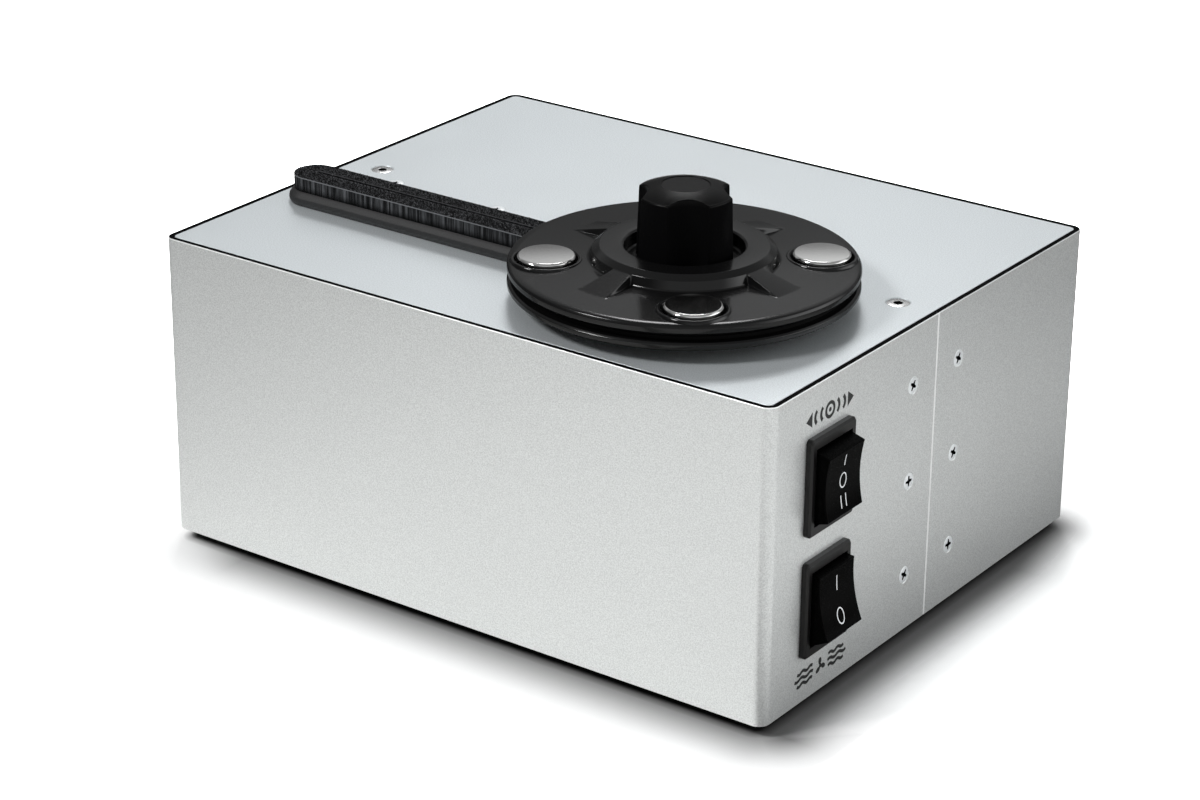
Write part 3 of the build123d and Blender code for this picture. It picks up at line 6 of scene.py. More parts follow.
import bmesh
import bpy
from mathutils import Matrix, Vector
from mathutils.bvhtree import BVHTree

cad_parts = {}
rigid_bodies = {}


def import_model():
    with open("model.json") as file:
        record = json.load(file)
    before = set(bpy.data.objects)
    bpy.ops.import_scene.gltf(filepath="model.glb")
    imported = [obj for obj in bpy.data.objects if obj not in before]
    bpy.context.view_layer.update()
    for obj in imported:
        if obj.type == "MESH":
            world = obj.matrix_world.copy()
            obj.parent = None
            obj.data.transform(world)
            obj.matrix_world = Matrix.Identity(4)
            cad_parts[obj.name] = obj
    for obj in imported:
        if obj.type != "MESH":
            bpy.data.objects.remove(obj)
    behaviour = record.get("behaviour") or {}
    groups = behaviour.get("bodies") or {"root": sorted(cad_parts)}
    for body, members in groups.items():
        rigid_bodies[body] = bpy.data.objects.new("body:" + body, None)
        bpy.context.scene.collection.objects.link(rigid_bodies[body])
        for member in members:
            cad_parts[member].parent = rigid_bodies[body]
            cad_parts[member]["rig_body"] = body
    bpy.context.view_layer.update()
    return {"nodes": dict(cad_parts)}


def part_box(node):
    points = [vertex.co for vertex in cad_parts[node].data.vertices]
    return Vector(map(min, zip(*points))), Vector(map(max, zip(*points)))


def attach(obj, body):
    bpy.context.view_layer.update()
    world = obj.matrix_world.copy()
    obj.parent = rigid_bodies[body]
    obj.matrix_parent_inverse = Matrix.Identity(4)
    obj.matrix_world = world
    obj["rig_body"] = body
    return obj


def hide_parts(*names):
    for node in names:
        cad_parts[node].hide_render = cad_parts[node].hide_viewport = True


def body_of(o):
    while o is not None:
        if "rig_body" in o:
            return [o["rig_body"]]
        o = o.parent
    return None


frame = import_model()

# Record cleaning machine: how each piece looks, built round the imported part.
# Metres, in the part's own frame: +X right, +Y back, +Z up, origin under the middle of the casing.

MM = 0.001
TAU = 2 * math.pi


# ---------------------------------------------------------------- places, read from the part

def middle_of(node):
    """The middle of a node's box, at rest."""
    low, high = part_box(node)
    return [(a + b) / 2 for a, b in zip(low, high)]


half_width, half_depth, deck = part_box("rear_casing")[1]
CORNER_RADIUS = 4.0 * MM

disc_low, disc_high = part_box("clamp_disc")
axis_x, axis_y, _ = middle_of("clamp_disc")
clamp_radius = (disc_high.x - disc_low.x) / 2
clamp_bottom = disc_low.z
hub_top = disc_high.z
magnet_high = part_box("clamp_magnets")[1].z
MAGNET_AZIMUTH = 38.0
SPOKES = 4


# ---------------------------------------------------------------- camera and lamps

VIEW_YAW = 35.548
VIEW_DROP = 23.333
VIEW_ROLL = 0.530
VIEW_FROM = (0.5917, -0.8427, 0.4932)
FRAME_WIDTH = 1200
FOCAL_PIXELS = 3294.5
SENSOR_WIDTH = 36.0
LAMP_SIZE = 0.8
LAMP_AIM = Vector((0, 0, 0.08))


def put_in_scene(name, data):
    made = bpy.data.objects.new(name, data)
    bpy.context.scene.collection.objects.link(made)
    return made


def make_camera():
    """A long lens to the right of the front, a little above."""
    data = bpy.data.cameras.new("view")
    data.sensor_width = SENSOR_WIDTH
    data.lens = SENSOR_WIDTH * FOCAL_PIXELS / FRAME_WIDTH
    data.clip_end = 50.0
    camera = put_in_scene("view", data)
    turn = Matrix.Rotation(math.radians(VIEW_YAW), 3, "Z")
    turn @= Matrix.Rotation(math.radians(90 - VIEW_DROP), 3, "X")
    turn @= Matrix.Rotation(math.radians(VIEW_ROLL), 3, "Z")
    camera.location = VIEW_FROM
    camera.rotation_euler = turn.to_euler()
    bpy.context.scene.camera = camera


def soft_lamp(name, place, power):
    data = bpy.data.lights.new(name, "AREA")
    data.shape = "RECTANGLE"
    data.size = data.size_y = LAMP_SIZE
    data.energy = power
    lamp = put_in_scene(name, data)
    lamp.location = place
    lamp.rotation_euler = (LAMP_AIM - Vector(place)).to_track_quat("-Z", "Y").to_euler()


# ---------------------------------------------------------------- shader arithmetic

class Signal:
    """A shader socket that takes part in Python arithmetic."""

    def __init__(self, finish, socket):
        self.finish = finish
        self.socket = socket

    def __add__(self, other):
        return self.finish.calc("ADD", self, other)

    __radd__ = __add__

    def __sub__(self, other):
        return self.finish.calc("SUBTRACT", self, other)

    def __rsub__(self, other):
        return self.finish.calc("SUBTRACT", other, self)

    def __mul__(self, other):
        return self.finish.calc("MULTIPLY", self, other)

    __rmul__ = __mul__

    def __truediv__(self, other):
        return self.finish.calc("DIVIDE", self, other)

    def __pow__(self, other):
        return self.finish.calc("POWER", self, other)

    def __gt__(self, other):
        return self.finish.calc("GREATER_THAN", self, other)

    def __abs__(self):
        return self.finish.calc("ABSOLUTE", self)

    def between(self, low, high):
        """0 below low, 1 above high, and a straight ramp from one to the other."""
        ramp = self.finish.node("ShaderNodeMapRange", {"clamp": True}, {
            "Value": self, "From Min": low, "From Max": high})
        return Signal(self.finish, ramp.outputs["Result"])


FINISHES = {}
DARK = (0.002, 0.002, 0.0022, 1.0)


class Finish:
    """One material, or the world, and the nodes that it is made of."""

    def __init__(self, name, owner=None):
        self.name = name
        self.owner = owner or bpy.data.materials.new(name)
        self.owner.use_nodes = True
        self.tree = self.owner.node_tree
        self.tree.nodes.clear()
        self.coordinates = None

    def node(self, kind, settings=None, sockets=None):
        made = self.tree.nodes.new(kind)
        for key, value in (settings or {}).items():
            setattr(made, key, value)
        for key, value in (sockets or {}).items():
            self.feed(made.inputs[key], value)
        return made

    def feed(self, socket, value):
        if isinstance(value, Signal):
            value = value.socket
        if isinstance(value, bpy.types.NodeSocket):
            self.tree.links.new(value, socket)
        else:
            socket.default_value = value

    def calc(self, operation, *values):
        made = self.node("ShaderNodeMath", {"operation": operation}, dict(enumerate(values)))
        return Signal(self, made.outputs[0])

    def larger(self, first, second):
        return self.calc("MAXIMUM", first, second)

    def place(self):
        """Where a point is on the piece, in metres."""
        if self.coordinates is None:
            self.coordinates = self.node("ShaderNodeTexCoord").outputs["Object"]
        return self.coordinates

    def axes(self):
        return self.parts(self.place())

    def parts(self, vector):
        """The three numbers of a vector."""
        split = self.node("ShaderNodeSeparateXYZ", None, {0: vector})
        return [Signal(self, socket) for socket in split.outputs]

    def colour(self, red, green, blue):
        """A colour from three numbers, which may be above 1."""
        return self.node("ShaderNodeCombineXYZ", None, {0: red, 1: green, 2: blue}).outputs[0]

    def grain(self, size, detail=2.0, roughness=0.5, stretch=None):
        """Noise with features about size across, 0 to 1."""
        where = self.place()
        if stretch:
            where = self.node("ShaderNodeMapping", {"vector_type": "POINT"}, {
                "Vector": where, "Scale": stretch}).outputs[0]
        made = self.node("ShaderNodeTexNoise", {"noise_dimensions": "3D"}, {
            "Vector": where, "Scale": 1 / size, "Detail": detail, "Roughness": roughness})
        return Signal(self, made.outputs["Fac"])

    def tint(self, mask, low, high):
        """A colour that goes from low to high with the mask."""
        mixed = self.node("ShaderNodeMix", {"data_type": "RGBA", "clamp_factor": True}, {0: mask})
        for index, colour in ((6, low), (7, high)):
            self.feed(mixed.inputs[index], colour if isinstance(colour, Signal) else (*colour, 1.0))
        return Signal(self, mixed.outputs[2])

    def relief(self, height, depth):
        """Turn a height signal into a normal, depth in metres."""
        made = self.node("ShaderNodeBump", None, {
            "Height": height, "Distance": depth, "Strength": 1.0})
        return Signal(self, made.outputs[0])

    def carried(self, name):
        """A number that the mesh carries, and 0 where it carries none."""
        return Signal(self, self.node(
            "ShaderNodeAttribute", {"attribute_name": name}).outputs["Fac"])

    def corner_reach(self, radius):
        """How far a point is out from the casing's outline set in by a radius: along x and y,
        and straight from that outline."""
        x, y, _ = self.axes()
        over_x = self.larger(abs(x) - (half_width - radius), 0.0)
        over_y = self.larger(abs(y) - (half_depth - radius), 0.0)
        return over_x, over_y, (over_x * over_x + over_y * over_y) ** 0.5

    def mixed(self, mask, first, second):
        """The first shader where the mask is 0 and the second where it is 1."""
        return self.node("ShaderNodeMixShader", None, {0: mask, 1: first, 2: second}).outputs[0]

    def by_view(self, lit, seen):
        """One shader for the light that is thrown back and another for the camera."""
        path = self.node("ShaderNodeLightPath")
        return self.mixed(path.outputs["Is Camera Ray"], lit, seen)

    def close(self, shader, kind="Material"):
        self.node("ShaderNodeOutput" + kind, None, {0: shader})
        return self.owner

    def surface(self, colour, roughness, metallic=0.0, normal=None, dark=None, **constants):
        """A principled surface, and a nearly black one where the dark mask is 1."""
        sockets = {"Base Color": colour, "Roughness": roughness, "Metallic": metallic}
        if normal is not None:
            sockets["Normal"] = normal
        sockets.update({key.replace("_", " "): value for key, value in constants.items()})
        shader = self.node("ShaderNodeBsdfPrincipled", None, sockets).outputs[0]
        if dark is not None:
            black = self.node("ShaderNodeBsdfPrincipled", None, {
                "Base Color": DARK, "Roughness": 0.8, "Specular IOR Level": 0.02})
            shader = self.mixed(dark, shader, black.outputs[0])
        FINISHES[self.name] = self.close(shader)


def spread_of(colour, spread):
    """A colour made darker and lighter by the same share."""
    return [tuple(min(1.0, channel * factor) for channel in colour)
            for factor in (1 - spread, 1 + spread)]


# ---------------------------------------------------------------- finishes

PANEL = (0.70, 0.715, 0.712)
# colour of the painted highlights at the seam and the top edge, as bared metal
EDGE_HIGHLIGHT = (0.97, 0.98, 0.98)
DECK = (0.66, 0.70, 0.72)
SKIN = 0.24 * MM            # the panel's aluminium, over its dark core
SEAM_HIGHLIGHT = 0.42 * MM        # painted highlight, coloured as bared metal, at each side of the seam
SEAM_SOFT = 0.08 * MM
CUT_EDGE = 0.6 * MM         # how far down from the deck the core shows
DECK_MARGIN = 2.75 * MM     # from the casing's outside to the dark cut edge of the deck
BLAST = 0.44 * MM           # across one speckle
BLAST_DEPTH = 0.008 * MM
BLAST_CLOUD = 28 * MM       # across the slow change in how it shines


def blasted(finish, colour, spread, smooth):
    """Fine-blasted, clear-anodised aluminium: colour, roughness and normal."""
    speckle = finish.grain(BLAST, 2.0, 0.6)
    cloud = finish.grain(BLAST_CLOUD)
    tone = finish.tint(speckle.between(0.32, 0.68), *spread_of(colour, spread))
    rough = smooth + 0.10 * speckle + 0.04 * cloud
    return tone, rough, finish.relief(speckle, BLAST_DEPTH)


def casing_panel():
    """Blasted skin outside, the dark core where the panel's cut edge shows, and painted highlights,
    coloured as bared metal, along the seam and just under the top edge.
    """
    finish = Finish("casing_panel")
    tone, rough, normal = blasted(finish, PANEL, 0.16, 0.38)
    x, y, z = finish.axes()
    over_x, over_y, reach = finish.corner_reach(CORNER_RADIUS)
    beside = finish.larger(abs(x) - half_width, abs(y) - half_depth)
    in_corner = (over_x > 0.0) * (over_y > 0.0)
    depth = 0.0 - (beside + ((reach - CORNER_RADIUS) - beside) * in_corner)
    core = depth.between(SKIN, SKIN * 1.2) * (z > deck - CUT_EDGE)
    # painted highlight just under the top edge, coloured and smoothed as bared metal where light
    # catches the rounded edge
    lip = (1 - depth.between(SKIN * 0.9, SKIN)) * z.between(deck - SKIN * 1.5, deck - SKIN)
    on_side = abs(x) > half_width - 1.2 * MM
    # painted highlight along the seam, coloured as bared metal where light catches its edges
    seam = on_side * (1 - abs(y).between(SEAM_HIGHLIGHT, SEAM_HIGHLIGHT + SEAM_SOFT))
    colour = finish.tint(finish.larger(seam, lip), tone, EDGE_HIGHLIGHT)
    metallic = 0.70 * (1 - 0.7 * seam)
    finish.surface(colour, rough - 0.14 * lip, metallic, normal, dark=core)


def deck_panel():
    """Blasted like the casing, a little smoother, with a dark cut edge all round."""
    finish = Finish("deck_panel")
    tone, rough, normal = blasted(finish, DECK, 0.13, 0.30)
    x, y, z = finish.axes()
    edge = finish.larger(abs(x) - (half_width - DECK_MARGIN), abs(y) - (half_depth - DECK_MARGIN))
    cut = edge.between(0.0, 0.12 * MM) * (1 - z.between(deck - 0.5 * MM, deck - 0.3 * MM))
    finish.surface(tone, rough, 0.60, normal, dark=cut)


def metal(name, colour, roughness, grain, spread, depth, stretch=None, metallic=1.0):
    """A bare or plated metal. Its grain's size and depth are in millimetres, and spread is how
    much darker and lighter the grain is."""
    finish = Finish(name)
    streak = finish.grain(grain * MM, 3.0, 0.6, stretch)
    cloud = finish.grain(9 * MM)
    tone = finish.tint(streak, *spread_of(colour, spread))
    rough = roughness - 0.05 + 0.10 * streak + 0.06 * cloud
    relief = finish.relief(streak, depth * MM)
    # painted shade, near black, wherever the mesh carries it
    finish.surface(tone, rough, metallic, relief, finish.carried("painted_shade"))


def moulded(name, colour, roughness, grain, spread=0.15, depth=0.012, shine=None, **coat):
    """Plastic or rubber with a fine moulded texture, given like a metal's grain."""
    finish = Finish(name)
    texture = finish.grain(grain * MM, 2.0, 0.55)
    cloud = finish.grain(14 * MM)
    tone = finish.tint(texture, *spread_of(colour, spread))
    rough = roughness - 0.05 + 0.06 * texture + 0.06 * cloud
    if shine is not None:
        coat["Specular_IOR_Level"] = shine
    relief = finish.relief(texture, depth * MM)
    # painted shade, near black, wherever the mesh carries it
    finish.surface(tone, rough, 0.0, relief, finish.carried("painted_shade"), **coat)


def bristle_fibre():
    """Nylon fibres: each one has its own tone; their sides carry a painted sheen along their
    length, with painted shade toward the roots and a painted highlight line near the top.
    """
    finish = Finish("bristle_fibre")
    own = finish.carried("fibre_tone")
    z = finish.axes()[2]

    def above(low, high):
        return z.between(deck + low * MM, deck + high * MM)

    streak = finish.grain(1.5 * MM, 3.0, 0.75, (1.0, 1.0, 0.04))
    # painted sheen along the fibres' sides, lighter up the fibre, with painted shade toward the
    # roots
    light = own ** 3.0 * (0.08 + streak.between(0.44, 0.66)) * above(4.8, 7.2)
    # painted highlight line just under the fibres' tips
    line = above(9.5, 9.55) * (1 - above(9.85, 9.9))
    tips = above(9.84, 9.88)
    painted_side_light = finish.tint(light, (0.0002, 0.0002, 0.0002), (0.16, 0.165, 0.175))
    tip_tone = finish.tint(own ** 3.0, (0.001, 0.001, 0.001), (0.075, 0.077, 0.081))
    painted_side_light = finish.tint(line * (0.2 + own * own), painted_side_light, (0.20, 0.205, 0.215))
    tone = finish.tint(tips, painted_side_light, tip_tone)
    finish.surface(tone, 0.40 + 0.25 * tips, 0.0, Specular_IOR_Level=0.03)


SHEEN = {"shine": 0.02, "Coat_Weight": 0.60, "Coat_Roughness": 0.15}
casing_panel()
deck_panel()
bristle_fibre()
metal("machined_aluminium", (0.66, 0.66, 0.67), 0.36, 0.3, 0.07, 0.008, (1, 1, 0.1))
metal("zinc_plate", (0.90, 0.93, 0.95), 0.30, 0.6, 0.06, 0.01, metallic=0.45)
metal("bright_steel", (0.66, 0.66, 0.66), 0.24, 0.25, 0.06, 0.004, (1, 1, 0.08))
metal("motor_steel", (0.36, 0.37, 0.38), 0.38, 0.4, 0.08, 0.006)
metal("sintered_bronze", (0.62, 0.42, 0.20), 0.40, 0.25, 0.14, 0.012)
metal("capacitor_can", (0.70, 0.71, 0.72), 0.30, 0.3, 0.05, 0.004, (1, 1, 0.05))
metal("magnet_nickel", (0.80, 0.795, 0.785), 0.06, 0.7, 0.07, 0.003)
moulded("base_sheet", (0.022, 0.022, 0.023), 0.55, 0.5)
moulded("black_rubber", (0.003, 0.003, 0.003), 0.66, 0.5, shine=0.06)
moulded("brush_rubber", (0.012, 0.012, 0.0125), 0.54, 0.45, 0.8, 0.12, shine=0.28)
moulded("natural_plastic", (0.70, 0.70, 0.67), 0.42, 0.6, 0.04)
moulded("blower_plastic", (0.03, 0.03, 0.032), 0.45, 0.5)
moulded("acetal", (0.78, 0.78, 0.75), 0.38, 0.6, 0.04)
for name in ("platter_plastic", "clamp_plastic"):
    moulded(name, (0.003, 0.003, 0.0031), 0.46, 0.45, 0.3, 0.016, **SHEEN)
moulded("knob_plastic", (0.0012, 0.0012, 0.0013), 0.32, 0.45, 0.2, 0.020, shine=0.07)
moulded("bezel_plastic", (0.005, 0.0048, 0.0048), 0.36, 0.45, 0.15, 0.010, shine=0.3)
moulded("rocker_plastic", (0.0010, 0.0010, 0.0010), 0.26, 0.45, 0.1, 0.005, shine=0.015)
moulded("white_ink", (0.80, 0.82, 0.84), 0.45, 0.3, 0.03, 0.002)
moulded("black_ink", (0.006, 0.006, 0.006), 0.50, 0.3, 0.05, 0.002)

NODE_FINISHES = {
    "casing_panel": "front_casing rear_casing",
    "deck_panel": "top_plate",
    "base_sheet": "base_plate",
    "machined_aluminium": "left_splice_bracket right_splice_bracket motor_bracket blower_bracket "
    "bearing_housing",
    "zinc_plate": "side_screws duct_screws base_plate_screws foot_screws motor_screws "
    "bracket_screws bearing_screws platter_screws clamp_screws lid_screws spindle_clip",
    "bright_steel": "top_plate_screws spindle blower_shaft drive_shaft rocker_pins "
    "platter_keepers",
    "black_rubber": "feet duct_seal tank_gasket air_sleeve drain_plug platter_mat clamp_seal",
    "brush_rubber": "brush_base",
    "bristle_fibre": "front_bristle_row rear_bristle_row",
    "natural_plastic": "suction_duct waste_tank tank_lid drain_tube",
    "blower_plastic": "blower_housing blower_impeller",
    "motor_steel": "blower_motor drive_motor",
    "acetal": "spindle_gear",
    "sintered_bronze": "drive_pinion spindle_bushes switch_terminals inlet_pins",
    "capacitor_can": "run_capacitor",
    "platter_plastic": "platter",
    "clamp_plastic": "clamp_disc",
    "knob_plastic": "clamp_knob",
    "magnet_nickel": "clamp_magnets",
    "bezel_plastic": "motor_switch_body vacuum_switch_body mains_inlet",
    "rocker_plastic": "motor_rocker vacuum_rocker",
}

for finish_name, names in NODE_FINISHES.items():
    for node in names.split():
        mesh = frame["nodes"][node].data
        mesh.materials.clear()
        mesh.materials.append(FINISHES[finish_name])


# ---------------------------------------------------------------- making pieces

def add_piece(name, mesh, finish, node, replaced=True, sharp=40.0):
    """Put a finished mesh on a node's body and, if replaced, in its place."""
    mesh.materials.clear()
    mesh.materials.append(FINISHES[finish])
    if sharp:
        mesh.shade_smooth()
        mesh.set_sharp_from_angle(angle=math.radians(sharp))
    piece = put_in_scene(name, mesh)
    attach(piece, body_of(frame["nodes"][node])[0])
    if replaced:
        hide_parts(node)
    return piece


def mesh_of(name, vertices, faces):
    mesh = bpy.data.meshes.new(name)
    mesh.from_pydata([tuple(v) for v in vertices], [], faces)
    mesh.update()
    return mesh


@contextmanager
def opened(mesh):
    """A mesh open for work, written back at the end."""
    work = bmesh.new()
    work.from_mesh(mesh)
    yield work
    work.to_mesh(mesh)
    work.free()


def tidied(mesh):
    """Merge doubled points, drop faces of no area, and point every face outwards."""
    gap = 1e-7
    with opened(mesh) as work:
        bmesh.ops.remove_doubles(work, verts=work.verts, dist=gap)
        bmesh.ops.dissolve_degenerate(work, edges=work.edges, dist=gap)
        bmesh.ops.recalc_face_normals(work, faces=work.faces)
    return mesh


def evaluated(piece):
    """The plain mesh that an object's modifiers give."""
    graph = bpy.context.evaluated_depsgraph_get()
    return bpy.data.meshes.new_from_object(piece.evaluated_get(graph))


def woven(rows, columns, round_rows=False, round_columns=True):
    """The faces between rows of points, each row joined to the next one."""
    faces = []
    for i in range(rows if round_rows else rows - 1):
        j = (i + 1) % rows
        for k in range(columns if round_columns else columns - 1):
            m = (k + 1) % columns
            faces.append((i * columns + k, i * columns + m, j * columns + m, j * columns + k))
    return faces


def on_circle(radius, angle):
    return radius * math.cos(angle), radius * math.sin(angle)


def rounded(corners, steps):
    """Round a line's corners. Each corner is (r, z, radius); the ends stay where they are."""
    points = [Vector(corners[0][:2])]
    for before, corner, after in zip(corners, corners[1:], corners[2:]):
        here = Vector(corner[:2])
        into, out = Vector(before[:2]) - here, Vector(after[:2]) - here
        turn = into.angle(out)
        if corner[2] == 0 or turn > math.pi - 0.02:
            points.append(here)
            continue
        cut = min(corner[2] / math.tan(turn / 2), into.length * 0.49, out.length * 0.49)
        start, end = here + into.normalized() * cut, here + out.normalized() * cut
        for i in range(steps + 1):
            t = i / steps
            points.append(start * (1 - t) ** 2 + here * 2 * t * (1 - t) + end * t ** 2)
    points.append(Vector(corners[-1][:2]))
    return [(p.x, p.y) for p in points]


def turned(name, corners, x, y, segments=96, steps=5):
    """A solid turned about an upright axis from its closed half outline, counted anticlockwise."""
    line = rounded([*corners, corners[0]], steps)[:-1]
    vertices = []
    for i in range(segments):
        c, s = on_circle(1.0, TAU * i / segments)
        vertices += [(x + r * c, y + r * s, z) for r, z in line]
    return tidied(mesh_of(name, vertices, woven(segments, len(line), round_rows=True)))


FLATTER_THAN = 0.4          # degrees: faces that bend less than this are joined
SOFTENED_FROM = 28.0        # degrees: edges that bend less than this stay as they are


def softened(node, finish, width, segments=2):
    """Stand in for a CAD node with a copy whose edges are slightly rounded."""
    mesh = frame["nodes"][node].data.copy()
    with opened(mesh) as work:
        bmesh.ops.remove_doubles(work, verts=work.verts, dist=2e-6)
        bmesh.ops.dissolve_degenerate(work, edges=work.edges, dist=1e-6)
        bmesh.ops.dissolve_limit(
            work, angle_limit=math.radians(FLATTER_THAN), verts=work.verts, edges=work.edges)
    mesh.shade_smooth()
    blank = put_in_scene("blank", mesh)
    bevel = blank.modifiers.new("edges", "BEVEL")
    bevel.width = width
    bevel.segments = segments
    bevel.limit_method = "ANGLE"
    bevel.angle_limit = math.radians(SOFTENED_FROM)
    bevel.use_clamp_overlap = True
    bevel.miter_outer = "MITER_ARC"
    flats = blank.modifiers.new("flats", "WEIGHTED_NORMAL")
    flats.weight = 90
    made = evaluated(blank)
    bpy.data.objects.remove(blank)
    return add_piece(node + "_finished", made, finish, node, sharp=None)


class Tree:
    """A geometry node tree with named inputs, run once to give a plain mesh."""

    def __init__(self, name):
        self.group = bpy.data.node_groups.new(name, "GeometryNodeTree")
        for way in ("INPUT", "OUTPUT"):
            self.group.interface.new_socket(
                name="Geometry", in_out=way, socket_type="NodeSocketGeometry")
        self.values = {}
        self.source = None

    def input(self, name, value, kind="Float"):
        socket = self.group.interface.new_socket(
            name=name, in_out="INPUT", socket_type="NodeSocket" + kind)
        self.values[socket.identifier] = value

    def given(self, name):
        if self.source is None:
            self.source = self.group.nodes.new("NodeGroupInput")
        return self.source.outputs[name]

    def node(self, kind, settings=None, sockets=None):
        made = self.group.nodes.new(kind)
        for key, value in (settings or {}).items():
            setattr(made, key, value)
        for key, value in (sockets or {}).items():
            if isinstance(value, bpy.types.NodeSocket):
                self.group.links.new(value, made.inputs[key])
            else:
                made.inputs[key].default_value = value
        return made

    def close(self, geometry, finish):
        """End in real geometry with its finish on it."""
        real = self.node("GeometryNodeRealizeInstances", None, {0: geometry})
        painted = self.node("GeometryNodeSetMaterial", None, {
            "Geometry": real.outputs[0], "Material": FINISHES[finish]})
        self.node("NodeGroupOutput", None, {0: painted.outputs[0]})

    def run(self, mesh):
        """The plain mesh that the tree gives from a starting mesh."""
        carrier = put_in_scene("carrier", mesh)
        modifier = carrier.modifiers.new("tree", "NODES")
        modifier.node_group = self.group
        for identifier, value in self.values.items():
            modifier[identifier] = value
        made = evaluated(carrier)
        carrier.modifiers.remove(modifier)
        bpy.data.objects.remove(carrier)
        return made


def scattered(name, finish, template, seats):
    """Copies of one small mesh, one at each seat: a place and the matrix that turns it."""
    template_object = put_in_scene(name + "_template", template)
    points = mesh_of(name + "_seats", [place for place, turn in seats], [])
    aims = points.attributes.new("aim", "FLOAT_VECTOR", "POINT")
    for i, (place, turn) in enumerate(seats):
        aims.data[i].vector = turn.to_euler()
    tree = Tree(name + "_copies")
    tree.input("Template", template_object, "Object")
    tree.input("Size", 1.0)
    source = tree.node("GeometryNodeObjectInfo", None, {"Object": tree.given("Template")})
    aim = tree.node(
        "GeometryNodeInputNamedAttribute", {"data_type": "FLOAT_VECTOR"}, {"Name": "aim"})
    turn = tree.node("FunctionNodeEulerToRotation", None, {0: aim.outputs[0]})
    copies = tree.node("GeometryNodeInstanceOnPoints", None, {
        "Points": tree.given("Geometry"),
        "Instance": source.outputs["Geometry"],
        "Rotation": turn.outputs[0],
        "Scale": tree.given("Size"),
    })
    tree.close(copies.outputs[0], finish)
    made = tree.run(points)
    bpy.data.objects.remove(template_object)
    return made


# ---------------------------------------------------------------- casing

for node in ("front_casing", "rear_casing"):
    softened(node, "casing_panel", 0.18 * MM)
softened("top_plate", "deck_panel", 0.15 * MM)
softened("feet", "black_rubber", 0.5 * MM, 3)


# ---------------------------------------------------------------- screws

SIDE_SCREW_PITCH = 33.0 * MM
SIDE_SCREW_FROM_SEAM = 14.0 * MM
SMALL_HEAD = 2.9 * MM
LARGE_HEAD = 3.9 * MM
LARGE_HEAD_INSET = 4.0 * MM
HEAD_SEGMENTS = 40
SIDE_HEAD_LIFT = 0.03 * MM


def on_face(direction, spin):
    """The turn that takes +Z to a direction, after a spin about it."""
    aim = Vector(direction).to_track_quat("Z", "Y").to_matrix()
    return aim @ Matrix.Rotation(math.radians(spin), 3, "Z")


def drive_head(name, radius, drop, recess, recess_depth):
    """A countersunk head seen from above: a rounded face with a drive recess sunk in it.

    The face is at z = 0 and the cone goes down by drop. The recess is a ring of points.
    """
    edge = 0.12 * radius
    mesh = bpy.data.meshes.new(name)
    with opened(mesh) as work:
        painted_shade = work.verts.layers.float.new("painted_shade")

        def ring(r, z):
            return [work.verts.new((*on_circle(r, TAU * i / HEAD_SEGMENTS), z))
                    for i in range(HEAD_SEGMENTS)]

        def recess_ring(share, z):
            return [work.verts.new((x * share, y * share, z)) for x, y in recess]

        def join(upper, lower):
            return [work.faces.new((lower[i - 1], lower[i], upper[i], upper[i - 1]))
                    for i in range(len(upper))]

        face = ring(radius - edge, 0.0)
        shoulder = ring(radius - 0.3 * edge, -0.25 * edge)
        side = ring(radius, -0.9 * edge)
        foot = ring(radius - drop, -drop)
        for upper, lower in ((face, shoulder), (shoulder, side), (side, foot)):
            join(upper, lower)
        work.faces.new(list(reversed(foot)))
        mouth = recess_ring(1.0, 0.0)
        lip = recess_ring(0.94, -0.08 * recess_depth)
        floor = recess_ring(0.72, -recess_depth)
        for wall in join(mouth, lip) + join(lip, floor):
            wall.normal_flip()
        work.faces.new(floor)
        edges = []
        for loop in (face, mouth):
            for i, v in enumerate(loop):
                w = loop[(i + 1) % len(loop)]
                edges.append(work.edges.get((v, w)) or work.edges.new((v, w)))
        bmesh.ops.triangle_fill(work, edges=edges, use_beauty=True)
        bmesh.ops.recalc_face_normals(work, faces=work.faces)
        # painted shade: the recess's lip and floor are drawn near black
        for v in lip + floor:
            v[painted_shade] = 1.0
    return mesh


def cross_outline(half_length, half_arm, half_tip):
    """A cross recess as a closed ring of points."""
    ring = []
    for quarter in range(4):
        c, s = on_circle(1.0, quarter * math.pi / 2)
        for x, y in (
            (half_arm * 1.6, -half_arm * 1.15),
            (half_length * 0.92, -half_tip),
            (half_length, 0.0),
            (half_length * 0.92, half_tip),
            (half_arm * 1.6, half_arm * 1.15),
        ):
            ring.append((x * c - y * s, x * s + y * c))
    return ring


def hexagon(across):
    reach = across / 2 / math.cos(math.pi / 6)
    return [on_circle(reach, TAU * i / 6) for i in range(6)]


spins = random.Random(7)


def side_seats():
    """Three screws on each side of the seam, on both side faces."""
    middle = middle_of("side_screws")[2]
    seats = []
    for side in (-1, 1):
        for row in (-1, 1):
            for step in (-1, 0, 1):
                place = (side * (half_width + SIDE_HEAD_LIFT), row * SIDE_SCREW_FROM_SEAM,
                         middle + step * SIDE_SCREW_PITCH)
                seats.append((place, on_face((side, 0, 0), spins.uniform(-35, 35))))
    return seats


def deck_seats(node, inset, lift, most_spin):
    """Two screws that face up, one at each end of a node's box."""
    low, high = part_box(node)
    y = middle_of(node)[1]
    return [((x, y, deck + lift), on_face((0, 0, 1), spins.uniform(0, most_spin)))
            for x in (low.x + inset, high.x - inset)]


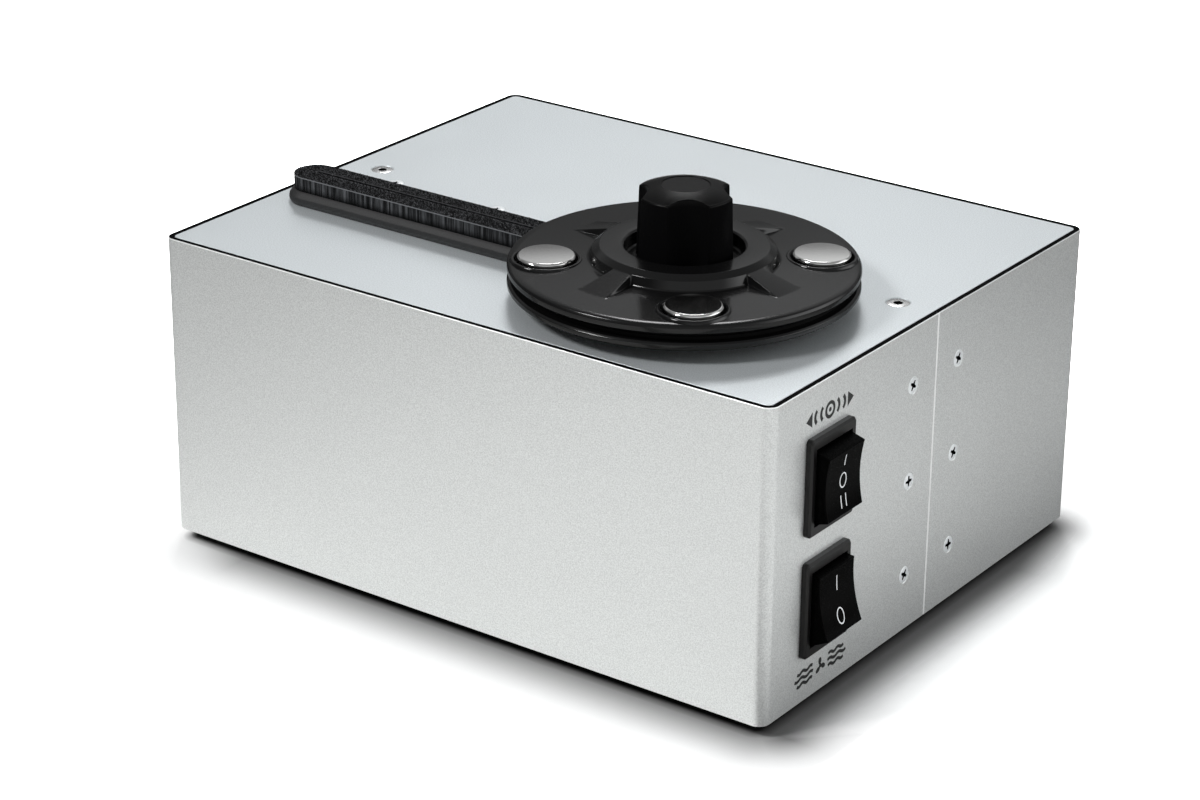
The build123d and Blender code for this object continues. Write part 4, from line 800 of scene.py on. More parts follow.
cross_head = drive_head(
    "cross_head", SMALL_HEAD, drop=1.5 * MM, recess_depth=1.0 * MM,
    recess=cross_outline(half_length=1.95 * MM, half_arm=0.48 * MM, half_tip=0.38 * MM))
small_cross_head = drive_head(
    "small_cross_head", SMALL_HEAD, drop=1.5 * MM, recess_depth=0.9 * MM,
    recess=cross_outline(half_length=1.25 * MM, half_arm=0.28 * MM, half_tip=0.22 * MM))
hex_head = drive_head(
    "hex_head", LARGE_HEAD, drop=1.9 * MM, recess_depth=1.7 * MM, recess=hexagon(3.0 * MM))

for name, node, finish, head, seats in (
    ("side_screw_heads", "side_screws", "zinc_plate", cross_head, side_seats()),
    ("deck_screw_heads", "top_plate_screws", "bright_steel", hex_head,
     deck_seats("top_plate_screws", LARGE_HEAD_INSET, lift=-0.12 * MM, most_spin=60)),
    ("duct_screw_heads", "duct_screws", "zinc_plate", small_cross_head,
     deck_seats("duct_screws", SMALL_HEAD, lift=0.02 * MM, most_spin=90)),
):
    add_piece(name, scattered(node, finish, head, seats), finish, node, sharp=35.0)


# ---------------------------------------------------------------- brush

base_low, base_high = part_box("brush_base")
row_low, row_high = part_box("front_bristle_row")
strip_y = middle_of("brush_base")[1]
strip_radius = (base_high.y - base_low.y) / 2
bristle_radius = (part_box("rear_bristle_row")[1].y - row_low.y) / 2
base_top = base_high.z
FIBRE_RADIUS = 0.17 * MM
FIBRE_ROOT = 1.0 * MM       # how deep the fibres start in the base
FIBRE_WOBBLE = 0.03 * MM
FIBRE_LEAN = 0.012          # radians
FIBRE_PITCH = 0.30 * MM
EDGE_PITCH = 0.24 * MM
SLOT_INSET = 9.0 * MM       # from the base's left end to the slot between the rows
SLOT_FRONT = 7.1 * MM       # the slot's edges, from the front of the front row
SLOT_REAR = 9.2 * MM
ROW_JOINT = 8.15 * MM       # where the rows meet, left of the slot
JOINT_HALF_GAP = 0.12 * MM


def brush_base_mesh():
    """The rubber base: one cross section carried round its left end and along both sides."""
    section = rounded([
        (0.0, deck, 0),
        (strip_radius - 0.7 * MM, deck, 0.3 * MM),
        (strip_radius, deck + 1.5 * MM, 1.2 * MM),
        (strip_radius - 0.25 * MM, deck + 2.9 * MM, 0.8 * MM),
        (bristle_radius + 0.75 * MM, base_top - 0.5 * MM, 1.6 * MM),
        (bristle_radius + 0.12 * MM, base_top, 0.15 * MM),
        (0.0, base_top - 0.2 * MM, 0),
    ], 6)
    turns = 28
    stations = [(base_high.x, 0.0, -1.0)]
    for i in range(turns + 1):
        along, across = on_circle(1.0, -math.pi / 2 - math.pi * i / turns)
        stations.append((base_low.x + strip_radius, along, across))
    stations.append((base_high.x, 0.0, 1.0))
    vertices = []
    for x, along, across in stations:
        vertices += [(x + along * r, strip_y + across * r, z) for r, z in section]
    n = len(section)
    faces = woven(len(stations), n, round_columns=False)
    last = (len(stations) - 1) * n
    faces.append(tuple(range(n)) + tuple(reversed(range(last, last + n))))
    return tidied(mesh_of("brush_base_mesh", vertices, faces))


def row_outline(side):
    """One bristle row's outline from above: -1 is the front row, 1 the rear one."""
    gap_edge = row_low.y + (SLOT_FRONT if side < 0 else SLOT_REAR)
    joint = row_low.y + ROW_JOINT + side * JOINT_HALF_GAP
    slot_left = base_low.x + SLOT_INSET
    ring = [(row_high.x, gap_edge), (slot_left, gap_edge), (slot_left, joint)]
    turns = 24
    first = math.pi - math.asin((joint - strip_y) / bristle_radius)
    last = math.pi - side * math.pi / 2
    for i in range(turns + 1):
        x, y = on_circle(bristle_radius, first + (last - first) * i / turns)
        ring.append((row_low.x + bristle_radius + x, strip_y + y))
    ring.append((row_high.x, strip_y + side * bristle_radius))
    return ring


def bristle_tree(seed):
    """Fibres packed over a flat patch and along its outline."""
    tree = Tree("bristle_row")
    tree.input("Fibre radius", FIBRE_RADIUS)
    tree.input("Fibre length", row_high.z - base_top + FIBRE_ROOT)
    tree.input("Pitch", FIBRE_PITCH)
    tree.input("Edge pitch", EDGE_PITCH)

    def scatter(low, high, step):
        return tree.node("FunctionNodeRandomValue", {"data_type": "FLOAT_VECTOR"}, {
            0: low, 1: high, "Seed": seed + step}).outputs[0]

    patch = tree.given("Geometry")
    density = tree.node("ShaderNodeMath", {"operation": "POWER"}, {
        0: tree.given("Pitch"), 1: -2.0})
    inner = tree.node("GeometryNodeDistributePointsOnFaces", {"distribute_method": "POISSON"}, {
        "Mesh": patch, 2: tree.given("Pitch"), 3: density.outputs[0], "Seed": seed})
    edge = tree.node("GeometryNodeMeshToCurve", None, {"Mesh": patch})
    spaced = tree.node("GeometryNodeResampleCurve", {"mode": "LENGTH"}, {
        "Curve": edge.outputs[0], 3: tree.given("Edge pitch")})
    rim = tree.node("GeometryNodeCurveToPoints", {"mode": "EVALUATED"}, {0: spaced.outputs[0]})
    wobble = scatter((-FIBRE_WOBBLE, -FIBRE_WOBBLE, 0.0), (FIBRE_WOBBLE, FIBRE_WOBBLE, 0.0), 5)
    rim_moved = tree.node("GeometryNodeSetPosition", None, {
        "Geometry": rim.outputs[0], "Offset": wobble})
    points = tree.node("GeometryNodeJoinGeometry")
    for found in (rim_moved, inner):
        tree.group.links.new(found.outputs[0], points.inputs[0])
    fibre = tree.node("GeometryNodeMeshCylinder", {"fill_type": "NGON"}, {
        "Vertices": 5, "Radius": tree.given("Fibre radius"), "Depth": tree.given("Fibre length")})
    half = tree.node("ShaderNodeMath", {"operation": "MULTIPLY"}, {
        0: tree.given("Fibre length"), 1: 0.5})
    up = tree.node("ShaderNodeCombineXYZ", None, {"Z": half.outputs[0]})
    raised = tree.node("GeometryNodeTransform", None, {
        "Geometry": fibre.outputs[0], "Translation": up.outputs[0]})
    lean = scatter((-FIBRE_LEAN, -FIBRE_LEAN, 0.0), (FIBRE_LEAN, FIBRE_LEAN, TAU), 1)
    turn = tree.node("FunctionNodeEulerToRotation", None, {0: lean})
    planted = tree.node("GeometryNodeInstanceOnPoints", None, {
        "Points": points.outputs[0], "Instance": raised.outputs[0], "Rotation": turn.outputs[0],
        "Scale": scatter((0.75, 0.75, 0.965), (1.1, 1.1, 1.0), 2)})
    own = tree.node("FunctionNodeRandomValue", {"data_type": "FLOAT"}, {"Seed": seed + 3})
    toned = tree.node("GeometryNodeStoreNamedAttribute", {
        "data_type": "FLOAT", "domain": "INSTANCE"}, {
        "Geometry": planted.outputs[0], "Name": "fibre_tone", "Value": own.outputs[1]})
    tree.close(toned.outputs[0], "bristle_fibre")
    return tree


def bristle_row(side, seed, name, node):
    """Grow one row's fibres on its outline, set in by a fibre's radius."""
    ring = [(min(x, row_high.x - FIBRE_RADIUS), y, base_top - FIBRE_ROOT)
            for x, y in row_outline(side)]
    patch = mesh_of(name + "_patch", ring, [tuple(range(len(ring)))])
    with opened(patch) as work:
        bmesh.ops.inset_region(
            work, faces=work.faces, thickness=FIBRE_RADIUS, use_even_offset=True)
        rim = [f for f in work.faces if len(f.verts) == 4]
        bmesh.ops.delete(work, geom=rim, context="FACES")
        if work.faces[:][0].normal.z < 0:
            bmesh.ops.reverse_faces(work, faces=work.faces)
    add_piece(name, bristle_tree(seed).run(patch), "bristle_fibre", node, sharp=30.0)


add_piece("brush_base_moulding", brush_base_mesh(), "brush_rubber", "brush_base", sharp=50.0)
bristle_row(-1, 11, "front_bristles", "front_bristle_row")
bristle_row(1, 29, "rear_bristles", "rear_bristle_row")


# ---------------------------------------------------------------- platter and clamp

platter_low, platter_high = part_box("platter")
PLATTER_RADIUS = 56.0 * MM
PLATTER_BORE = 6.1 * MM
BORE = 7.95 * MM
RIM_TOP = clamp_bottom + 3.2 * MM
RIM_RADIUS = 55.0 * MM
CROWN = 0.8 * MM
HUB_RADIUS = 30.4 * MM
SHOULDER_RADIUS = 29.2 * MM
SHOULDER = hub_top - 1.5 * MM
HUB_FLAT = 27.0 * MM
HUB_FLAT_INNER = 22.0 * MM
RECESS_RADIUS = 19.0 * MM
RECESS_FLOOR = clamp_bottom + 3.6 * MM
SPOKE_FOOT = 43.5 * MM
HALF_SPOKE = 7.1            # degrees
SPOKE_WALL = 1.25           # degrees
MAGNET_CIRCLE = 43.5 * MM
MAGNET_RADIUS = 9.3 * MM
SEAT_RADIUS = 10.1 * MM
SEAT_DEPTH = 1.5 * MM
SEAT_RIM_RADIUS = 11.75 * MM
SEAT_RIM_RISE = 1.0 * MM

turned_platter = turned("platter_turned", [
    (PLATTER_BORE, platter_low.z, 0),
    (PLATTER_RADIUS - 1.6 * MM, platter_low.z, 0.5 * MM),
    (PLATTER_RADIUS, platter_low.z + 1.0 * MM, 0.5 * MM),
    (PLATTER_RADIUS, platter_high.z - 0.65 * MM, 0.4 * MM),
    (PLATTER_RADIUS - 0.7 * MM, platter_high.z, 0.5 * MM),
    (PLATTER_BORE, platter_high.z, 0),
], axis_x, axis_y, 256)
add_piece("platter_disc", turned_platter, "platter_plastic", "platter")


def height_on(line, r):
    """The height of a line of (r, z) points at a radius."""
    for (r0, z0), (r1, z1) in zip(line, line[1:]):
        if r0 <= r <= r1:
            return z0 if r1 - r0 < 1e-9 else z0 + (z1 - z0) * (r - r0) / (r1 - r0)
    return line[-1][1]


def spoke_share(offset):
    """How much of a spoke there is, by degrees from its middle: 1 on top and 0 beside it."""
    t = min(1.0, max(0.0, (abs(offset) - HALF_SPOKE) / SPOKE_WALL))
    return 1 - t * t * t * (t * (6 * t - 15) + 10)


def spoke_angles():
    """Angles round the disc, close together on the spokes' walls, and each one's share of spoke."""
    wall = [HALF_SPOKE + SPOKE_WALL * w
            for w in (0.0, 0.06, 0.14, 0.24, 0.4, 0.6, 0.76, 0.86, 0.94, 1.0)]
    top = [HALF_SPOKE * i / 6 for i in range(-5, 6)]
    offsets = [-v for v in reversed(wall)] + top + wall
    steps = 72
    rest = 90 - 2 * wall[-1]
    offsets += [wall[-1] + rest * i / steps for i in range(1, steps)]
    return [(math.radians(MAGNET_AZIMUTH + 45 + 90 * k + offset), spoke_share(offset))
            for k in range(SPOKES) for offset in offsets]


def clamp_disc_mesh():
    """The moulded clamp: hub, recess, rim and four tapering spokes as one skin of rings."""
    hub = [(HUB_FLAT_INNER, hub_top, 0), (HUB_FLAT, hub_top, 0.95 * MM)]
    rim = (RIM_RADIUS, RIM_TOP, 0)
    open_line = rounded([
        *hub,
        (SHOULDER_RADIUS, SHOULDER, 0.35 * MM),
        (HUB_RADIUS - 0.1 * MM, RIM_TOP + CROWN, 0.95 * MM),
        rim,
    ], 7)
    spoke_line = rounded([
        *hub,
        (SHOULDER_RADIUS, SHOULDER, 0.6 * MM),
        (SPOKE_FOOT, RIM_TOP + CROWN * 0.42, 1.2 * MM),
        rim,
    ], 7)
    under = rounded([
        rim,
        (clamp_radius - 0.45 * MM, RIM_TOP - 0.3 * MM, 0.6 * MM),
        (clamp_radius, RIM_TOP - 1.05 * MM, 0.45 * MM),
        (clamp_radius, clamp_bottom + 0.65 * MM, 0.35 * MM),
        (clamp_radius - 0.7 * MM, clamp_bottom, 0.2 * MM),
        (BORE, clamp_bottom, 0),
        (BORE, RECESS_FLOOR, 0),
        (RECESS_RADIUS - 0.5 * MM, RECESS_FLOOR, 0.3 * MM),
        (RECESS_RADIUS, RECESS_FLOOR + 0.6 * MM, 0.3 * MM),
        (RECESS_RADIUS + 0.1 * MM, hub_top - 0.55 * MM, 0.5 * MM),
        (RECESS_RADIUS + 0.8 * MM, hub_top, 0.6 * MM),
        (HUB_FLAT_INNER, hub_top, 0),
    ], 5)[1:-1]
    radii = {round(r, 7) for r, z in open_line + spoke_line}
    radii |= {round((30.5 + 0.75 * i) * MM, 7) for i in range(31)}
    heights = [(r, height_on(open_line, r), height_on(spoke_line, r)) for r in sorted(radii)]
    angles = spoke_angles()
    vertices = []
    for angle, share in angles:
        c, s = on_circle(1.0, angle)
        over = [(r, low + (max(high, low) - low) * share) for r, low, high in heights]
        vertices += [(axis_x + r * c, axis_y + r * s, z) for r, z in over + under]
    faces = woven(len(angles), len(heights) + len(under), round_rows=True)
    return tidied(mesh_of("clamp_disc_skin", vertices, faces))


def magnet_places():
    places = []
    for k in range(SPOKES):
        x, y = on_circle(MAGNET_CIRCLE, math.radians(MAGNET_AZIMUTH + 90 * k))
        places.append(Vector((axis_x + x, axis_y + y, 0.0)))
    return places


def with_pockets(mesh):
    """Sink the four magnet seats into the disc."""
    body = put_in_scene("disc_blank", mesh)
    for place in magnet_places():
        cutter = put_in_scene("seat_cutter", turned("seat_cutter", [
            (0.0, RIM_TOP - SEAT_DEPTH, 0),
            (SEAT_RADIUS, RIM_TOP - SEAT_DEPTH, 0),
            (SEAT_RADIUS, hub_top, 0),
            (0.0, hub_top, 0),
        ], place.x, place.y))
        cut = body.modifiers.new("seat", "BOOLEAN")
        cut.operation = "DIFFERENCE"
        cut.solver = "EXACT"
        cut.object = cutter
        made = evaluated(body)
        body.modifiers.clear()
        body.data = made
        bpy.data.objects.remove(cutter)
    bpy.data.objects.remove(body)
    return made


disc_mesh = clamp_disc_mesh()
disc_mesh = with_pockets(disc_mesh)
add_piece("clamp_disc_moulding", disc_mesh, "clamp_plastic", "clamp_disc", sharp=48.0)

seats = [(place, Matrix.Identity(3)) for place in magnet_places()]
seat_rim = turned("seat_rim", [
    (SEAT_RADIUS - 0.02 * MM, RIM_TOP - 0.6 * MM, 0),
    (SEAT_RIM_RADIUS, RIM_TOP - 0.6 * MM, 0),
    (SEAT_RIM_RADIUS - 0.1 * MM, RIM_TOP + 0.1 * MM, 0.2 * MM),
    (SEAT_RIM_RADIUS - 0.55 * MM, RIM_TOP + SEAT_RIM_RISE, 0.55 * MM),
    (SEAT_RADIUS + 0.25 * MM, RIM_TOP + SEAT_RIM_RISE, 0.4 * MM),
    (SEAT_RADIUS - 0.02 * MM, RIM_TOP + 0.3 * MM, 0.2 * MM),
], 0.0, 0.0, steps=4)
rims = scattered("magnet_seats", "clamp_plastic", seat_rim, seats)
add_piece("magnet_seat_rims", rims, "clamp_plastic", "clamp_disc", replaced=False)

magnet = turned("magnet", [
    (0.0, RIM_TOP - SEAT_DEPTH, 0),
    (MAGNET_RADIUS, RIM_TOP - SEAT_DEPTH, 0),
    (MAGNET_RADIUS, magnet_high - 0.55 * MM, 0.35 * MM),
    (MAGNET_RADIUS - 0.55 * MM, magnet_high, 0.5 * MM),
    (0.0, magnet_high, 0),
], 0.0, 0.0, steps=6)
magnets = scattered("magnets", "magnet_nickel", magnet, seats)
add_piece("clamp_magnet_discs", magnets, "magnet_nickel", "clamp_magnets")


# ---------------------------------------------------------------- grip knob

KNOB_RADIUS = 16.3 * MM
KNOB_SHRINK = 0.6 * MM      # how much less its radius is at the top
KNOB_HEIGHT = 22.2 * MM
KNOB_EDGE = 0.5 * MM
KNOB_SEGMENTS = 432
SIDE_STEPS = 9
EDGE_STEPS = 6
FLUTE_RADIUS = 9.3 * MM
FLUTE_DEPTH = 3.8 * MM
FLUTE_EDGE = 0.35 * MM
DISH_RADIUS = 7.8 * MM
DISH_DEPTH = 0.3 * MM
DOME_RISE = 2.6 * MM
SIDE_SHADE = 0.85           # the share of painted shade, near black, on the knob's side


def knob_reach(angle, inset):
    """How far the knob's side is from its axis at an angle, set in by a distance."""
    centre = KNOB_RADIUS - FLUTE_DEPTH + FLUTE_RADIUS
    quarter = (angle - math.radians(MAGNET_AZIMUTH)) % (math.pi / 2)
    off = min(quarter, math.pi / 2 - quarter)
    lobe = KNOB_RADIUS - inset
    across = centre * math.sin(off)
    inside = (FLUTE_RADIUS + inset) ** 2 - across ** 2
    if inside <= 0:
        return lobe
    flute = centre * math.cos(off) - math.sqrt(inside)
    return min(flute, lobe) - max(0.0, FLUTE_EDGE - abs(flute - lobe)) ** 2 / (4 * FLUTE_EDGE)


def knob_mesh():
    """The knob: its fluted side in rings, a rounded edge, a domed top and a shallow round dish."""
    foot = RECESS_FLOOR + 0.02 * MM
    shoulder = KNOB_RADIUS - KNOB_SHRINK
    drop = (shoulder ** 2 - DISH_RADIUS ** 2 - DOME_RISE ** 2) / (2 * DOME_RISE)
    ball = math.hypot(shoulder, drop)

    def dome(r):
        return foot + KNOB_HEIGHT - drop + math.sqrt(ball ** 2 - r ** 2)

    rings = []
    for i in range(SIDE_STEPS + 1):
        side = [knob_reach(TAU * k / KNOB_SEGMENTS, KNOB_SHRINK * i / SIDE_STEPS)
                for k in range(KNOB_SEGMENTS)]
        height = foot + (KNOB_HEIGHT - KNOB_EDGE) * i / SIDE_STEPS
        rings.append([(r, min(height, dome(r) - KNOB_EDGE)) for r in side])
    for i in range(1, EDGE_STEPS + 1):
        out, up = on_circle(1.0, math.pi / 2 * i / EDGE_STEPS)
        rings.append([(r - KNOB_EDGE + KNOB_EDGE * out,
                       (dome(r) - KNOB_EDGE) * (1 - up) + dome(r - KNOB_EDGE) * up) for r in side])
    dish_edge = DISH_RADIUS + 0.25 * MM
    for share in (0.06, 0.15, 0.3, 0.45, 0.6, 0.75, 0.88):
        radii = [(r - KNOB_EDGE) * (1 - share) + dish_edge * share for r in side]
        rings.append([(r, dome(r)) for r in radii])
    rim_z = dome(DISH_RADIUS)
    dish = rounded([
        (dish_edge, dome(dish_edge), 0),
        (DISH_RADIUS, rim_z, 0.12 * MM),
        (DISH_RADIUS - 0.25 * MM, rim_z - DISH_DEPTH, 0.2 * MM),
        (DISH_RADIUS - 1.2 * MM, rim_z - DISH_DEPTH, 0),
    ], 4)
    for r, z in (*dish, (3.0 * MM, rim_z - DISH_DEPTH)):
        rings.append([(r, z)] * KNOB_SEGMENTS)
    vertices = []
    for ring in rings:
        for k, (r, z) in enumerate(ring):
            x, y = on_circle(r, TAU * k / KNOB_SEGMENTS)
            vertices.append((axis_x + x, axis_y + y, z))
    faces = woven(len(rings), KNOB_SEGMENTS)
    centre = len(vertices)
    last = centre - KNOB_SEGMENTS
    vertices.append((axis_x, axis_y, rim_z - DISH_DEPTH))
    for i in range(KNOB_SEGMENTS):
        faces.append((last + i, last + (i + 1) % KNOB_SEGMENTS, centre))
    faces.append(tuple(reversed(range(KNOB_SEGMENTS))))
    mesh = mesh_of("knob_skin", vertices, faces)
    # painted shade on the side rings, darker than the top
    painted_shade = mesh.attributes.new("painted_shade", "FLOAT", "POINT")
    for i in range(len(vertices)):
        painted_shade.data[i].value = SIDE_SHADE if i // KNOB_SEGMENTS <= SIDE_STEPS else 0.0
    return tidied(mesh)


add_piece("clamp_knob_moulding", knob_mesh(), "knob_plastic", "clamp_knob", sharp=48.0)


# ---------------------------------------------------------------- switches

for node in ("motor_switch_body", "vacuum_switch_body"):
    softened(node, "bezel_plastic", 0.35 * MM, 3)
motor_rocker = softened("motor_rocker", "rocker_plastic", 0.35 * MM, 3)
vacuum_rocker = softened("vacuum_rocker", "rocker_plastic", 0.35 * MM, 3)
softened("mains_inlet", "bezel_plastic", 0.4 * MM, 3)
softened("drain_plug", "black_rubber", 0.3 * MM)


# ---------------------------------------------------------------- markings, drawn in millimetres

def stroke(points, width):
    """A flat stroke of even width along a line of (across, up) points, as quads."""
    points = [Vector(p) for p in points]
    if (points[0] - points[-1]).length < 1e-6:
        around = [points[-2], *points, points[1]]
    else:
        around = [points[0], *points, points[-1]]
    sides = []
    for before, p, after in zip(around, points, around[2:]):
        along = (after - before).normalized()
        aside = Vector((-along.y, along.x)) * width / 2
        sides.append((p + aside, p - aside))
    return [(a, b, d, c) for (a, b), (c, d) in zip(sides, sides[1:])]


def bar(x, low, high):
    steps = 10
    return [(x, low + (high - low) * i / steps) for i in range(steps + 1)]


def oval(x, y, rx, ry, start=0.0, end=360.0, steps=48):
    turns = [on_circle(1.0, math.radians(start + (end - start) * i / steps))
             for i in range(steps + 1)]
    return [(x + rx * c, y + ry * s) for c, s in turns]


def filled(points):
    """A filled shape as a fan of thin quads from its middle."""
    points = [Vector(p) for p in points]
    middle = sum(points, Vector((0, 0))) / len(points)
    return [(middle, a, b, b) for a, b in zip(points, points[1:])]


def ink_mesh(name, quads, place, tilt=0.0, target=None, lift=0.03 * MM):
    """Lay flat quads on the right face, or where they fall on a target that leans back by tilt."""
    c, s = on_circle(1.0, tilt)
    across, up, out = Vector((0, 1, 0)), Vector((-s, 0, c)), Vector((c, 0, s))
    tree = None
    if target is not None:
        tree = BVHTree.FromPolygons(
            [v.co for v in target.data.vertices], [tuple(p.vertices) for p in target.data.polygons])
    vertices, faces = [], []
    for quad in quads:
        for corner in quad:
            point = Vector(place) + (across * corner[0] + up * corner[1]) * MM
            if tree is not None:
                point = tree.ray_cast(point + out * 0.02, -out)[0] or point
            vertices.append(point + out * lift)
        faces.append(tuple(range(len(vertices) - len(quad), len(vertices))))
    mesh = mesh_of(name, vertices, faces)
    with opened(mesh) as work:
        bmesh.ops.remove_doubles(work, verts=work.verts, dist=1e-6)
        for face in work.faces:
            if face.normal.dot(out) < 0:
                face.normal_flip()
        thick = bmesh.ops.extrude_face_region(work, geom=work.faces[:])
        moved = [v for v in thick["geom"] if isinstance(v, bmesh.types.BMVert)]
        bmesh.ops.translate(work, verts=moved, vec=-out * lift * 1.6)
        bmesh.ops.recalc_face_normals(work, faces=work.faces)
    return mesh


def record_sign():
    """A record between arcs and arrows that point outwards."""
    quads = stroke(oval(0, 0, 2.3, 2.3), 1.15) + filled(oval(0, 0, 0.75, 0.75))
    for side in (-1, 1):
        facing = 90 - side * 90
        for reach in (5.1, 8.4):
            arc = oval(side * (reach - 2.7), 0, 2.7, 2.7, facing - 50, facing + 50, 20)
            quads += stroke(arc, 1.25)
        foot, tip = side * 10.0, side * 13.4
        quads += filled([(foot, 2.5), (tip, 0.0), (foot, -2.5), (foot, 2.5)])
    return quads


def air_sign():
    """A three-bladed fan with air streaming to it from both sides."""
    quads = filled(oval(0, 0, 0.75, 0.75))
    for k in range(3):
        c, s = on_circle(1.0, math.radians(90 + 120 * k))
        petal = oval(1.7, 0.3, 1.3, 0.85, steps=20)
        quads += filled([(x * c - y * s, x * s + y * c) for x, y in petal])
    for side in (-1, 1):
        for y, near, far in ((-2.1, 4.6, 13.4), (0.0, 4.2, 14.8), (2.1, 4.6, 13.4)):
            stream = [(side * (near + (far - near) * i / 24), y + 0.4 * math.sin(TAU * i / 12))
                      for i in range(25)]
            quads += stroke(stream, 1.1)
    return quads


MARK_WIDTH = 0.42
SIGN_SHIFT = 0.4 * MM       # how far behind the switches' middle the signs are
VACUUM_TILT = math.radians(10.0)
_, switch_y, motor_z = middle_of("motor_switch_body")
motor_place = (half_width, switch_y, motor_z)
vacuum_place = (half_width, switch_y, middle_of("vacuum_switch_body")[2])

motor_marks = [bar(0.0, 5.3, 8.9), oval(0.0, 0.3, 1.75, 2.35), bar(-1.35, -8.6, -4.4),
               bar(1.35, -8.6, -4.4)]
vacuum_marks = [bar(0.0, 3.2, 8.2), oval(0.0, -5.2, 1.75, 2.5)]
for node, rocker, lines, place, tilt in (
    ("motor_rocker", motor_rocker, motor_marks, motor_place, 0.0),
    ("vacuum_rocker", vacuum_rocker, vacuum_marks, vacuum_place, VACUUM_TILT),
):
    quads = [quad for line in lines for quad in stroke(line, MARK_WIDTH)]
    mesh = ink_mesh(node + "_ink", quads, place, tilt, rocker)
    add_piece(node + "_marks", mesh, "white_ink", node, replaced=False)

for name, quads, z in (
    ("record_sign", record_sign(), 99.1 * MM),
    ("air_sign", air_sign(), 12.3 * MM),
):
    mesh = ink_mesh(name + "_ink", quads, (half_width, switch_y + SIGN_SHIFT, z), lift=0.02 * MM)
    add_piece(name, mesh, "black_ink", "motor_switch_body", replaced=False)


# ---------------------------------------------------------------- floor, sky and view

FLOOR_REACH = 9.0
SHADOW_ROUNDING = 6 * MM
SHADOW_REACH = 25 * MM
FRONT_SHADOW = 0.29         # painted shadow: the floor's colour to the camera at the foot of the front
SIDE_SHADOW = 0.17          # and at the foot of the right side, with what it gains further out
SIDE_GAIN = 1.78
KEY_SLANT = 1.35            # how far back the front lamp's shadow edge goes for each metre right
BACK_LEFT = 0.38            # how bright the sky is towards each corner, and overhead
FRONT_RIGHT = 0.68
BACK_RIGHT = 2.90
FRONT_LEFT = 0.10
OVERHEAD = 0.30


def eased(share):
    """A share from 0 to 1 that starts and ends gently."""
    return share * share * (3.0 - 2.0 * share)


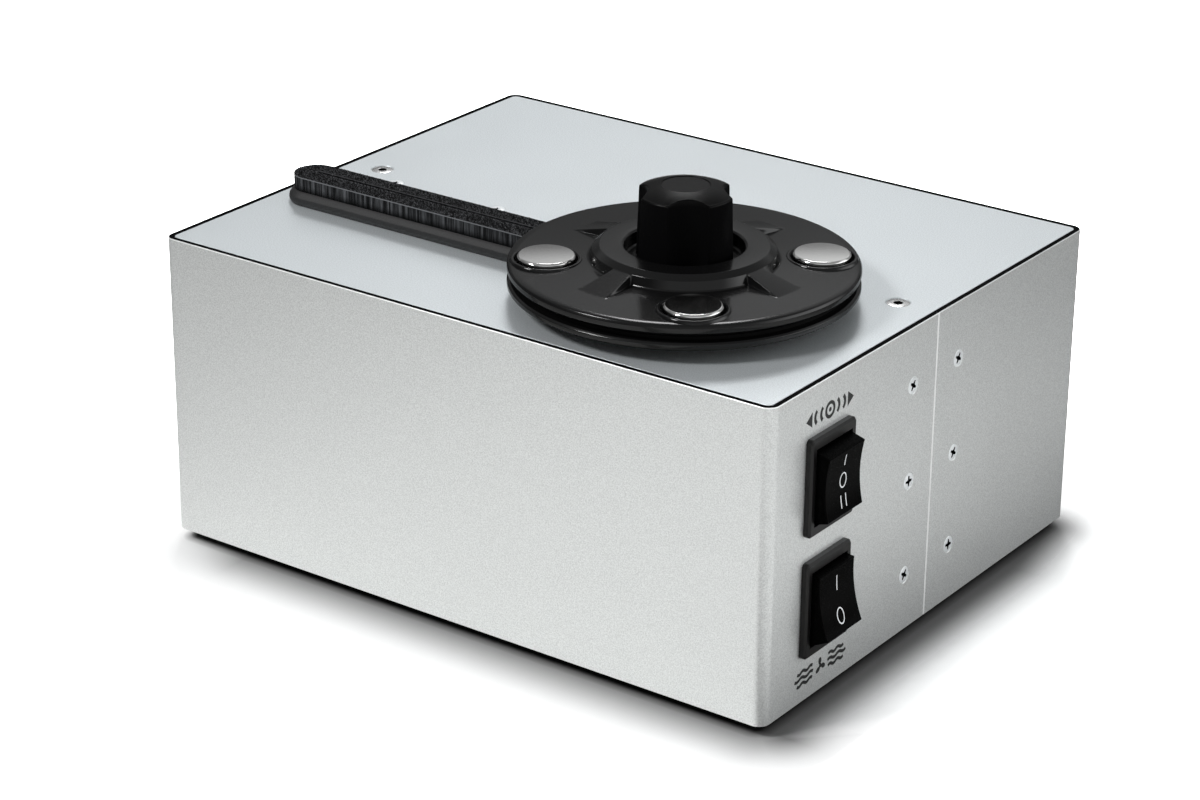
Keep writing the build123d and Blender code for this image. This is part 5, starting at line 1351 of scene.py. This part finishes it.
def stage_material():
    """A pale floor: white to the camera away from the object, with a painted shadow close by over
    its real one, and painted shade in the light it throws back.
    """
    finish = Finish("pale_floor")
    x, y, _ = finish.axes()
    out_x, out_y, reach = finish.corner_reach(SHADOW_ROUNDING)
    outside = reach - SHADOW_ROUNDING
    share = out_x / (out_x + out_y + 0.0001)
    right = (share + (y > 0.0)).between(0.5, 1.0) * (x > 0.0)
    # painted shadow: the floor's colour to the camera darkens close to the casing, over the lamps'
    # real shadow
    before = FRONT_SHADOW + (1 - FRONT_SHADOW) * eased(outside.between(-2 * MM, SHADOW_REACH))
    before = 1.0 - (1.0 - before) * x.between(-124 * MM, -90 * MM)
    beyond = finish.larger(x - half_width, 0.0)
    # where the front lamp reaches past its shadow edge, the painted colour is halved
    past_edge = (KEY_SLANT * beyond - (y + half_depth)) / (0.9 * beyond + 1 * MM)
    far_end = y.between(55 * MM, 100 * MM)
    gain = SIDE_GAIN * eased((outside + 7 * MM * far_end).between(2 * MM, SHADOW_REACH))
    aside = (SIDE_SHADOW + gain) * (1 - 0.5 * past_edge.between(-0.55, 0.4))
    near = before + (aside - before) * right
    # painted shade under the casing, near black
    foot = 0.05 + 0.95 * outside.between(-4.5 * MM, 0.5 * MM)
    white = near * foot + 2.2 * outside.between(22 * MM, 60 * MM)
    seen = finish.node("ShaderNodeBsdfDiffuse", None, {"Color": finish.colour(white, white, white)})
    # painted shade in the colour for thrown-back light: far to the left, beside the right side and
    # behind, so that the casing's sides reflect it darker
    far_left = (0.0 - (0.80 * x + 0.35 * y)).between(0.12, 0.40)
    beside = (x > half_width) * (1 - (x - half_width).between(0.010, 0.075))
    behind = (x > 0.0) * y.between(0.05, 0.28)
    far_behind = (0.58 * x + 0.81 * y).between(0.27, 0.42)
    pale = 0.94
    for dim, mask in ((0.85, far_left), (0.85, beside), (0.72, behind), (0.88, far_behind)):
        pale = pale * (1 - dim * mask)
    lit = finish.node("ShaderNodeBsdfDiffuse", None, {
        "Color": finish.tint(pale, (0.0, 0.0, 0.0), (1.0, 1.0, 0.985))})
    return finish.close(finish.by_view(lit.outputs[0], seen.outputs[0]))


def make_floor():
    corners = [(x * FLOOR_REACH, y * FLOOR_REACH, 0)
               for x, y in ((-1, -1), (1, -1), (1, 1), (-1, 1))]
    mesh = mesh_of("floor", corners, [(0, 1, 2, 3)])
    mesh.materials.append(stage_material())
    put_in_scene("floor", mesh)


def make_world():
    """A studio sky, bright on the right and dim on the left, and white to the camera."""
    world = bpy.data.worlds.new("studio")
    bpy.context.scene.world = world
    sky = Finish("studio", world)
    x, y, z = sky.parts(sky.node("ShaderNodeTexCoord").outputs["Generated"])
    right, back = x.between(-0.12, 0.25), y.between(-0.12, 0.25)
    low = 1 - z.between(0.45, 0.75)
    far_back = (y - 1.3 * x).between(-0.20, 0.40)
    veil = (0.5 + z.between(0.31, 0.40)) * (0.8 + 0.5 * x.between(-0.60, -0.46))
    around = BACK_LEFT * veil * (1 - right) * back
    around += FRONT_RIGHT * right * (1 - back)
    around += BACK_RIGHT * right * back * (1 - 0.90 * far_back)
    around += FRONT_LEFT * (1 - right) * (1 - back)
    bright = low * around + OVERHEAD * (1 - low)
    backgrounds = [
        sky.node("ShaderNodeBackground", None, {"Color": colour, "Strength": 1.0}).outputs[0]
        for colour in (sky.colour(0.985 * bright, 0.995 * bright, bright), (1, 1, 1, 1))]
    sky.close(sky.by_view(*backgrounds), "World")


make_camera()
make_floor()
make_world()
soft_lamp("back_key", (-1.60, 2.36, 2.85), 23.0)
soft_lamp("front_key", (-1.48, -2.00, 2.55), 98.0)
bpy.context.scene.view_settings.view_transform = "Standard"
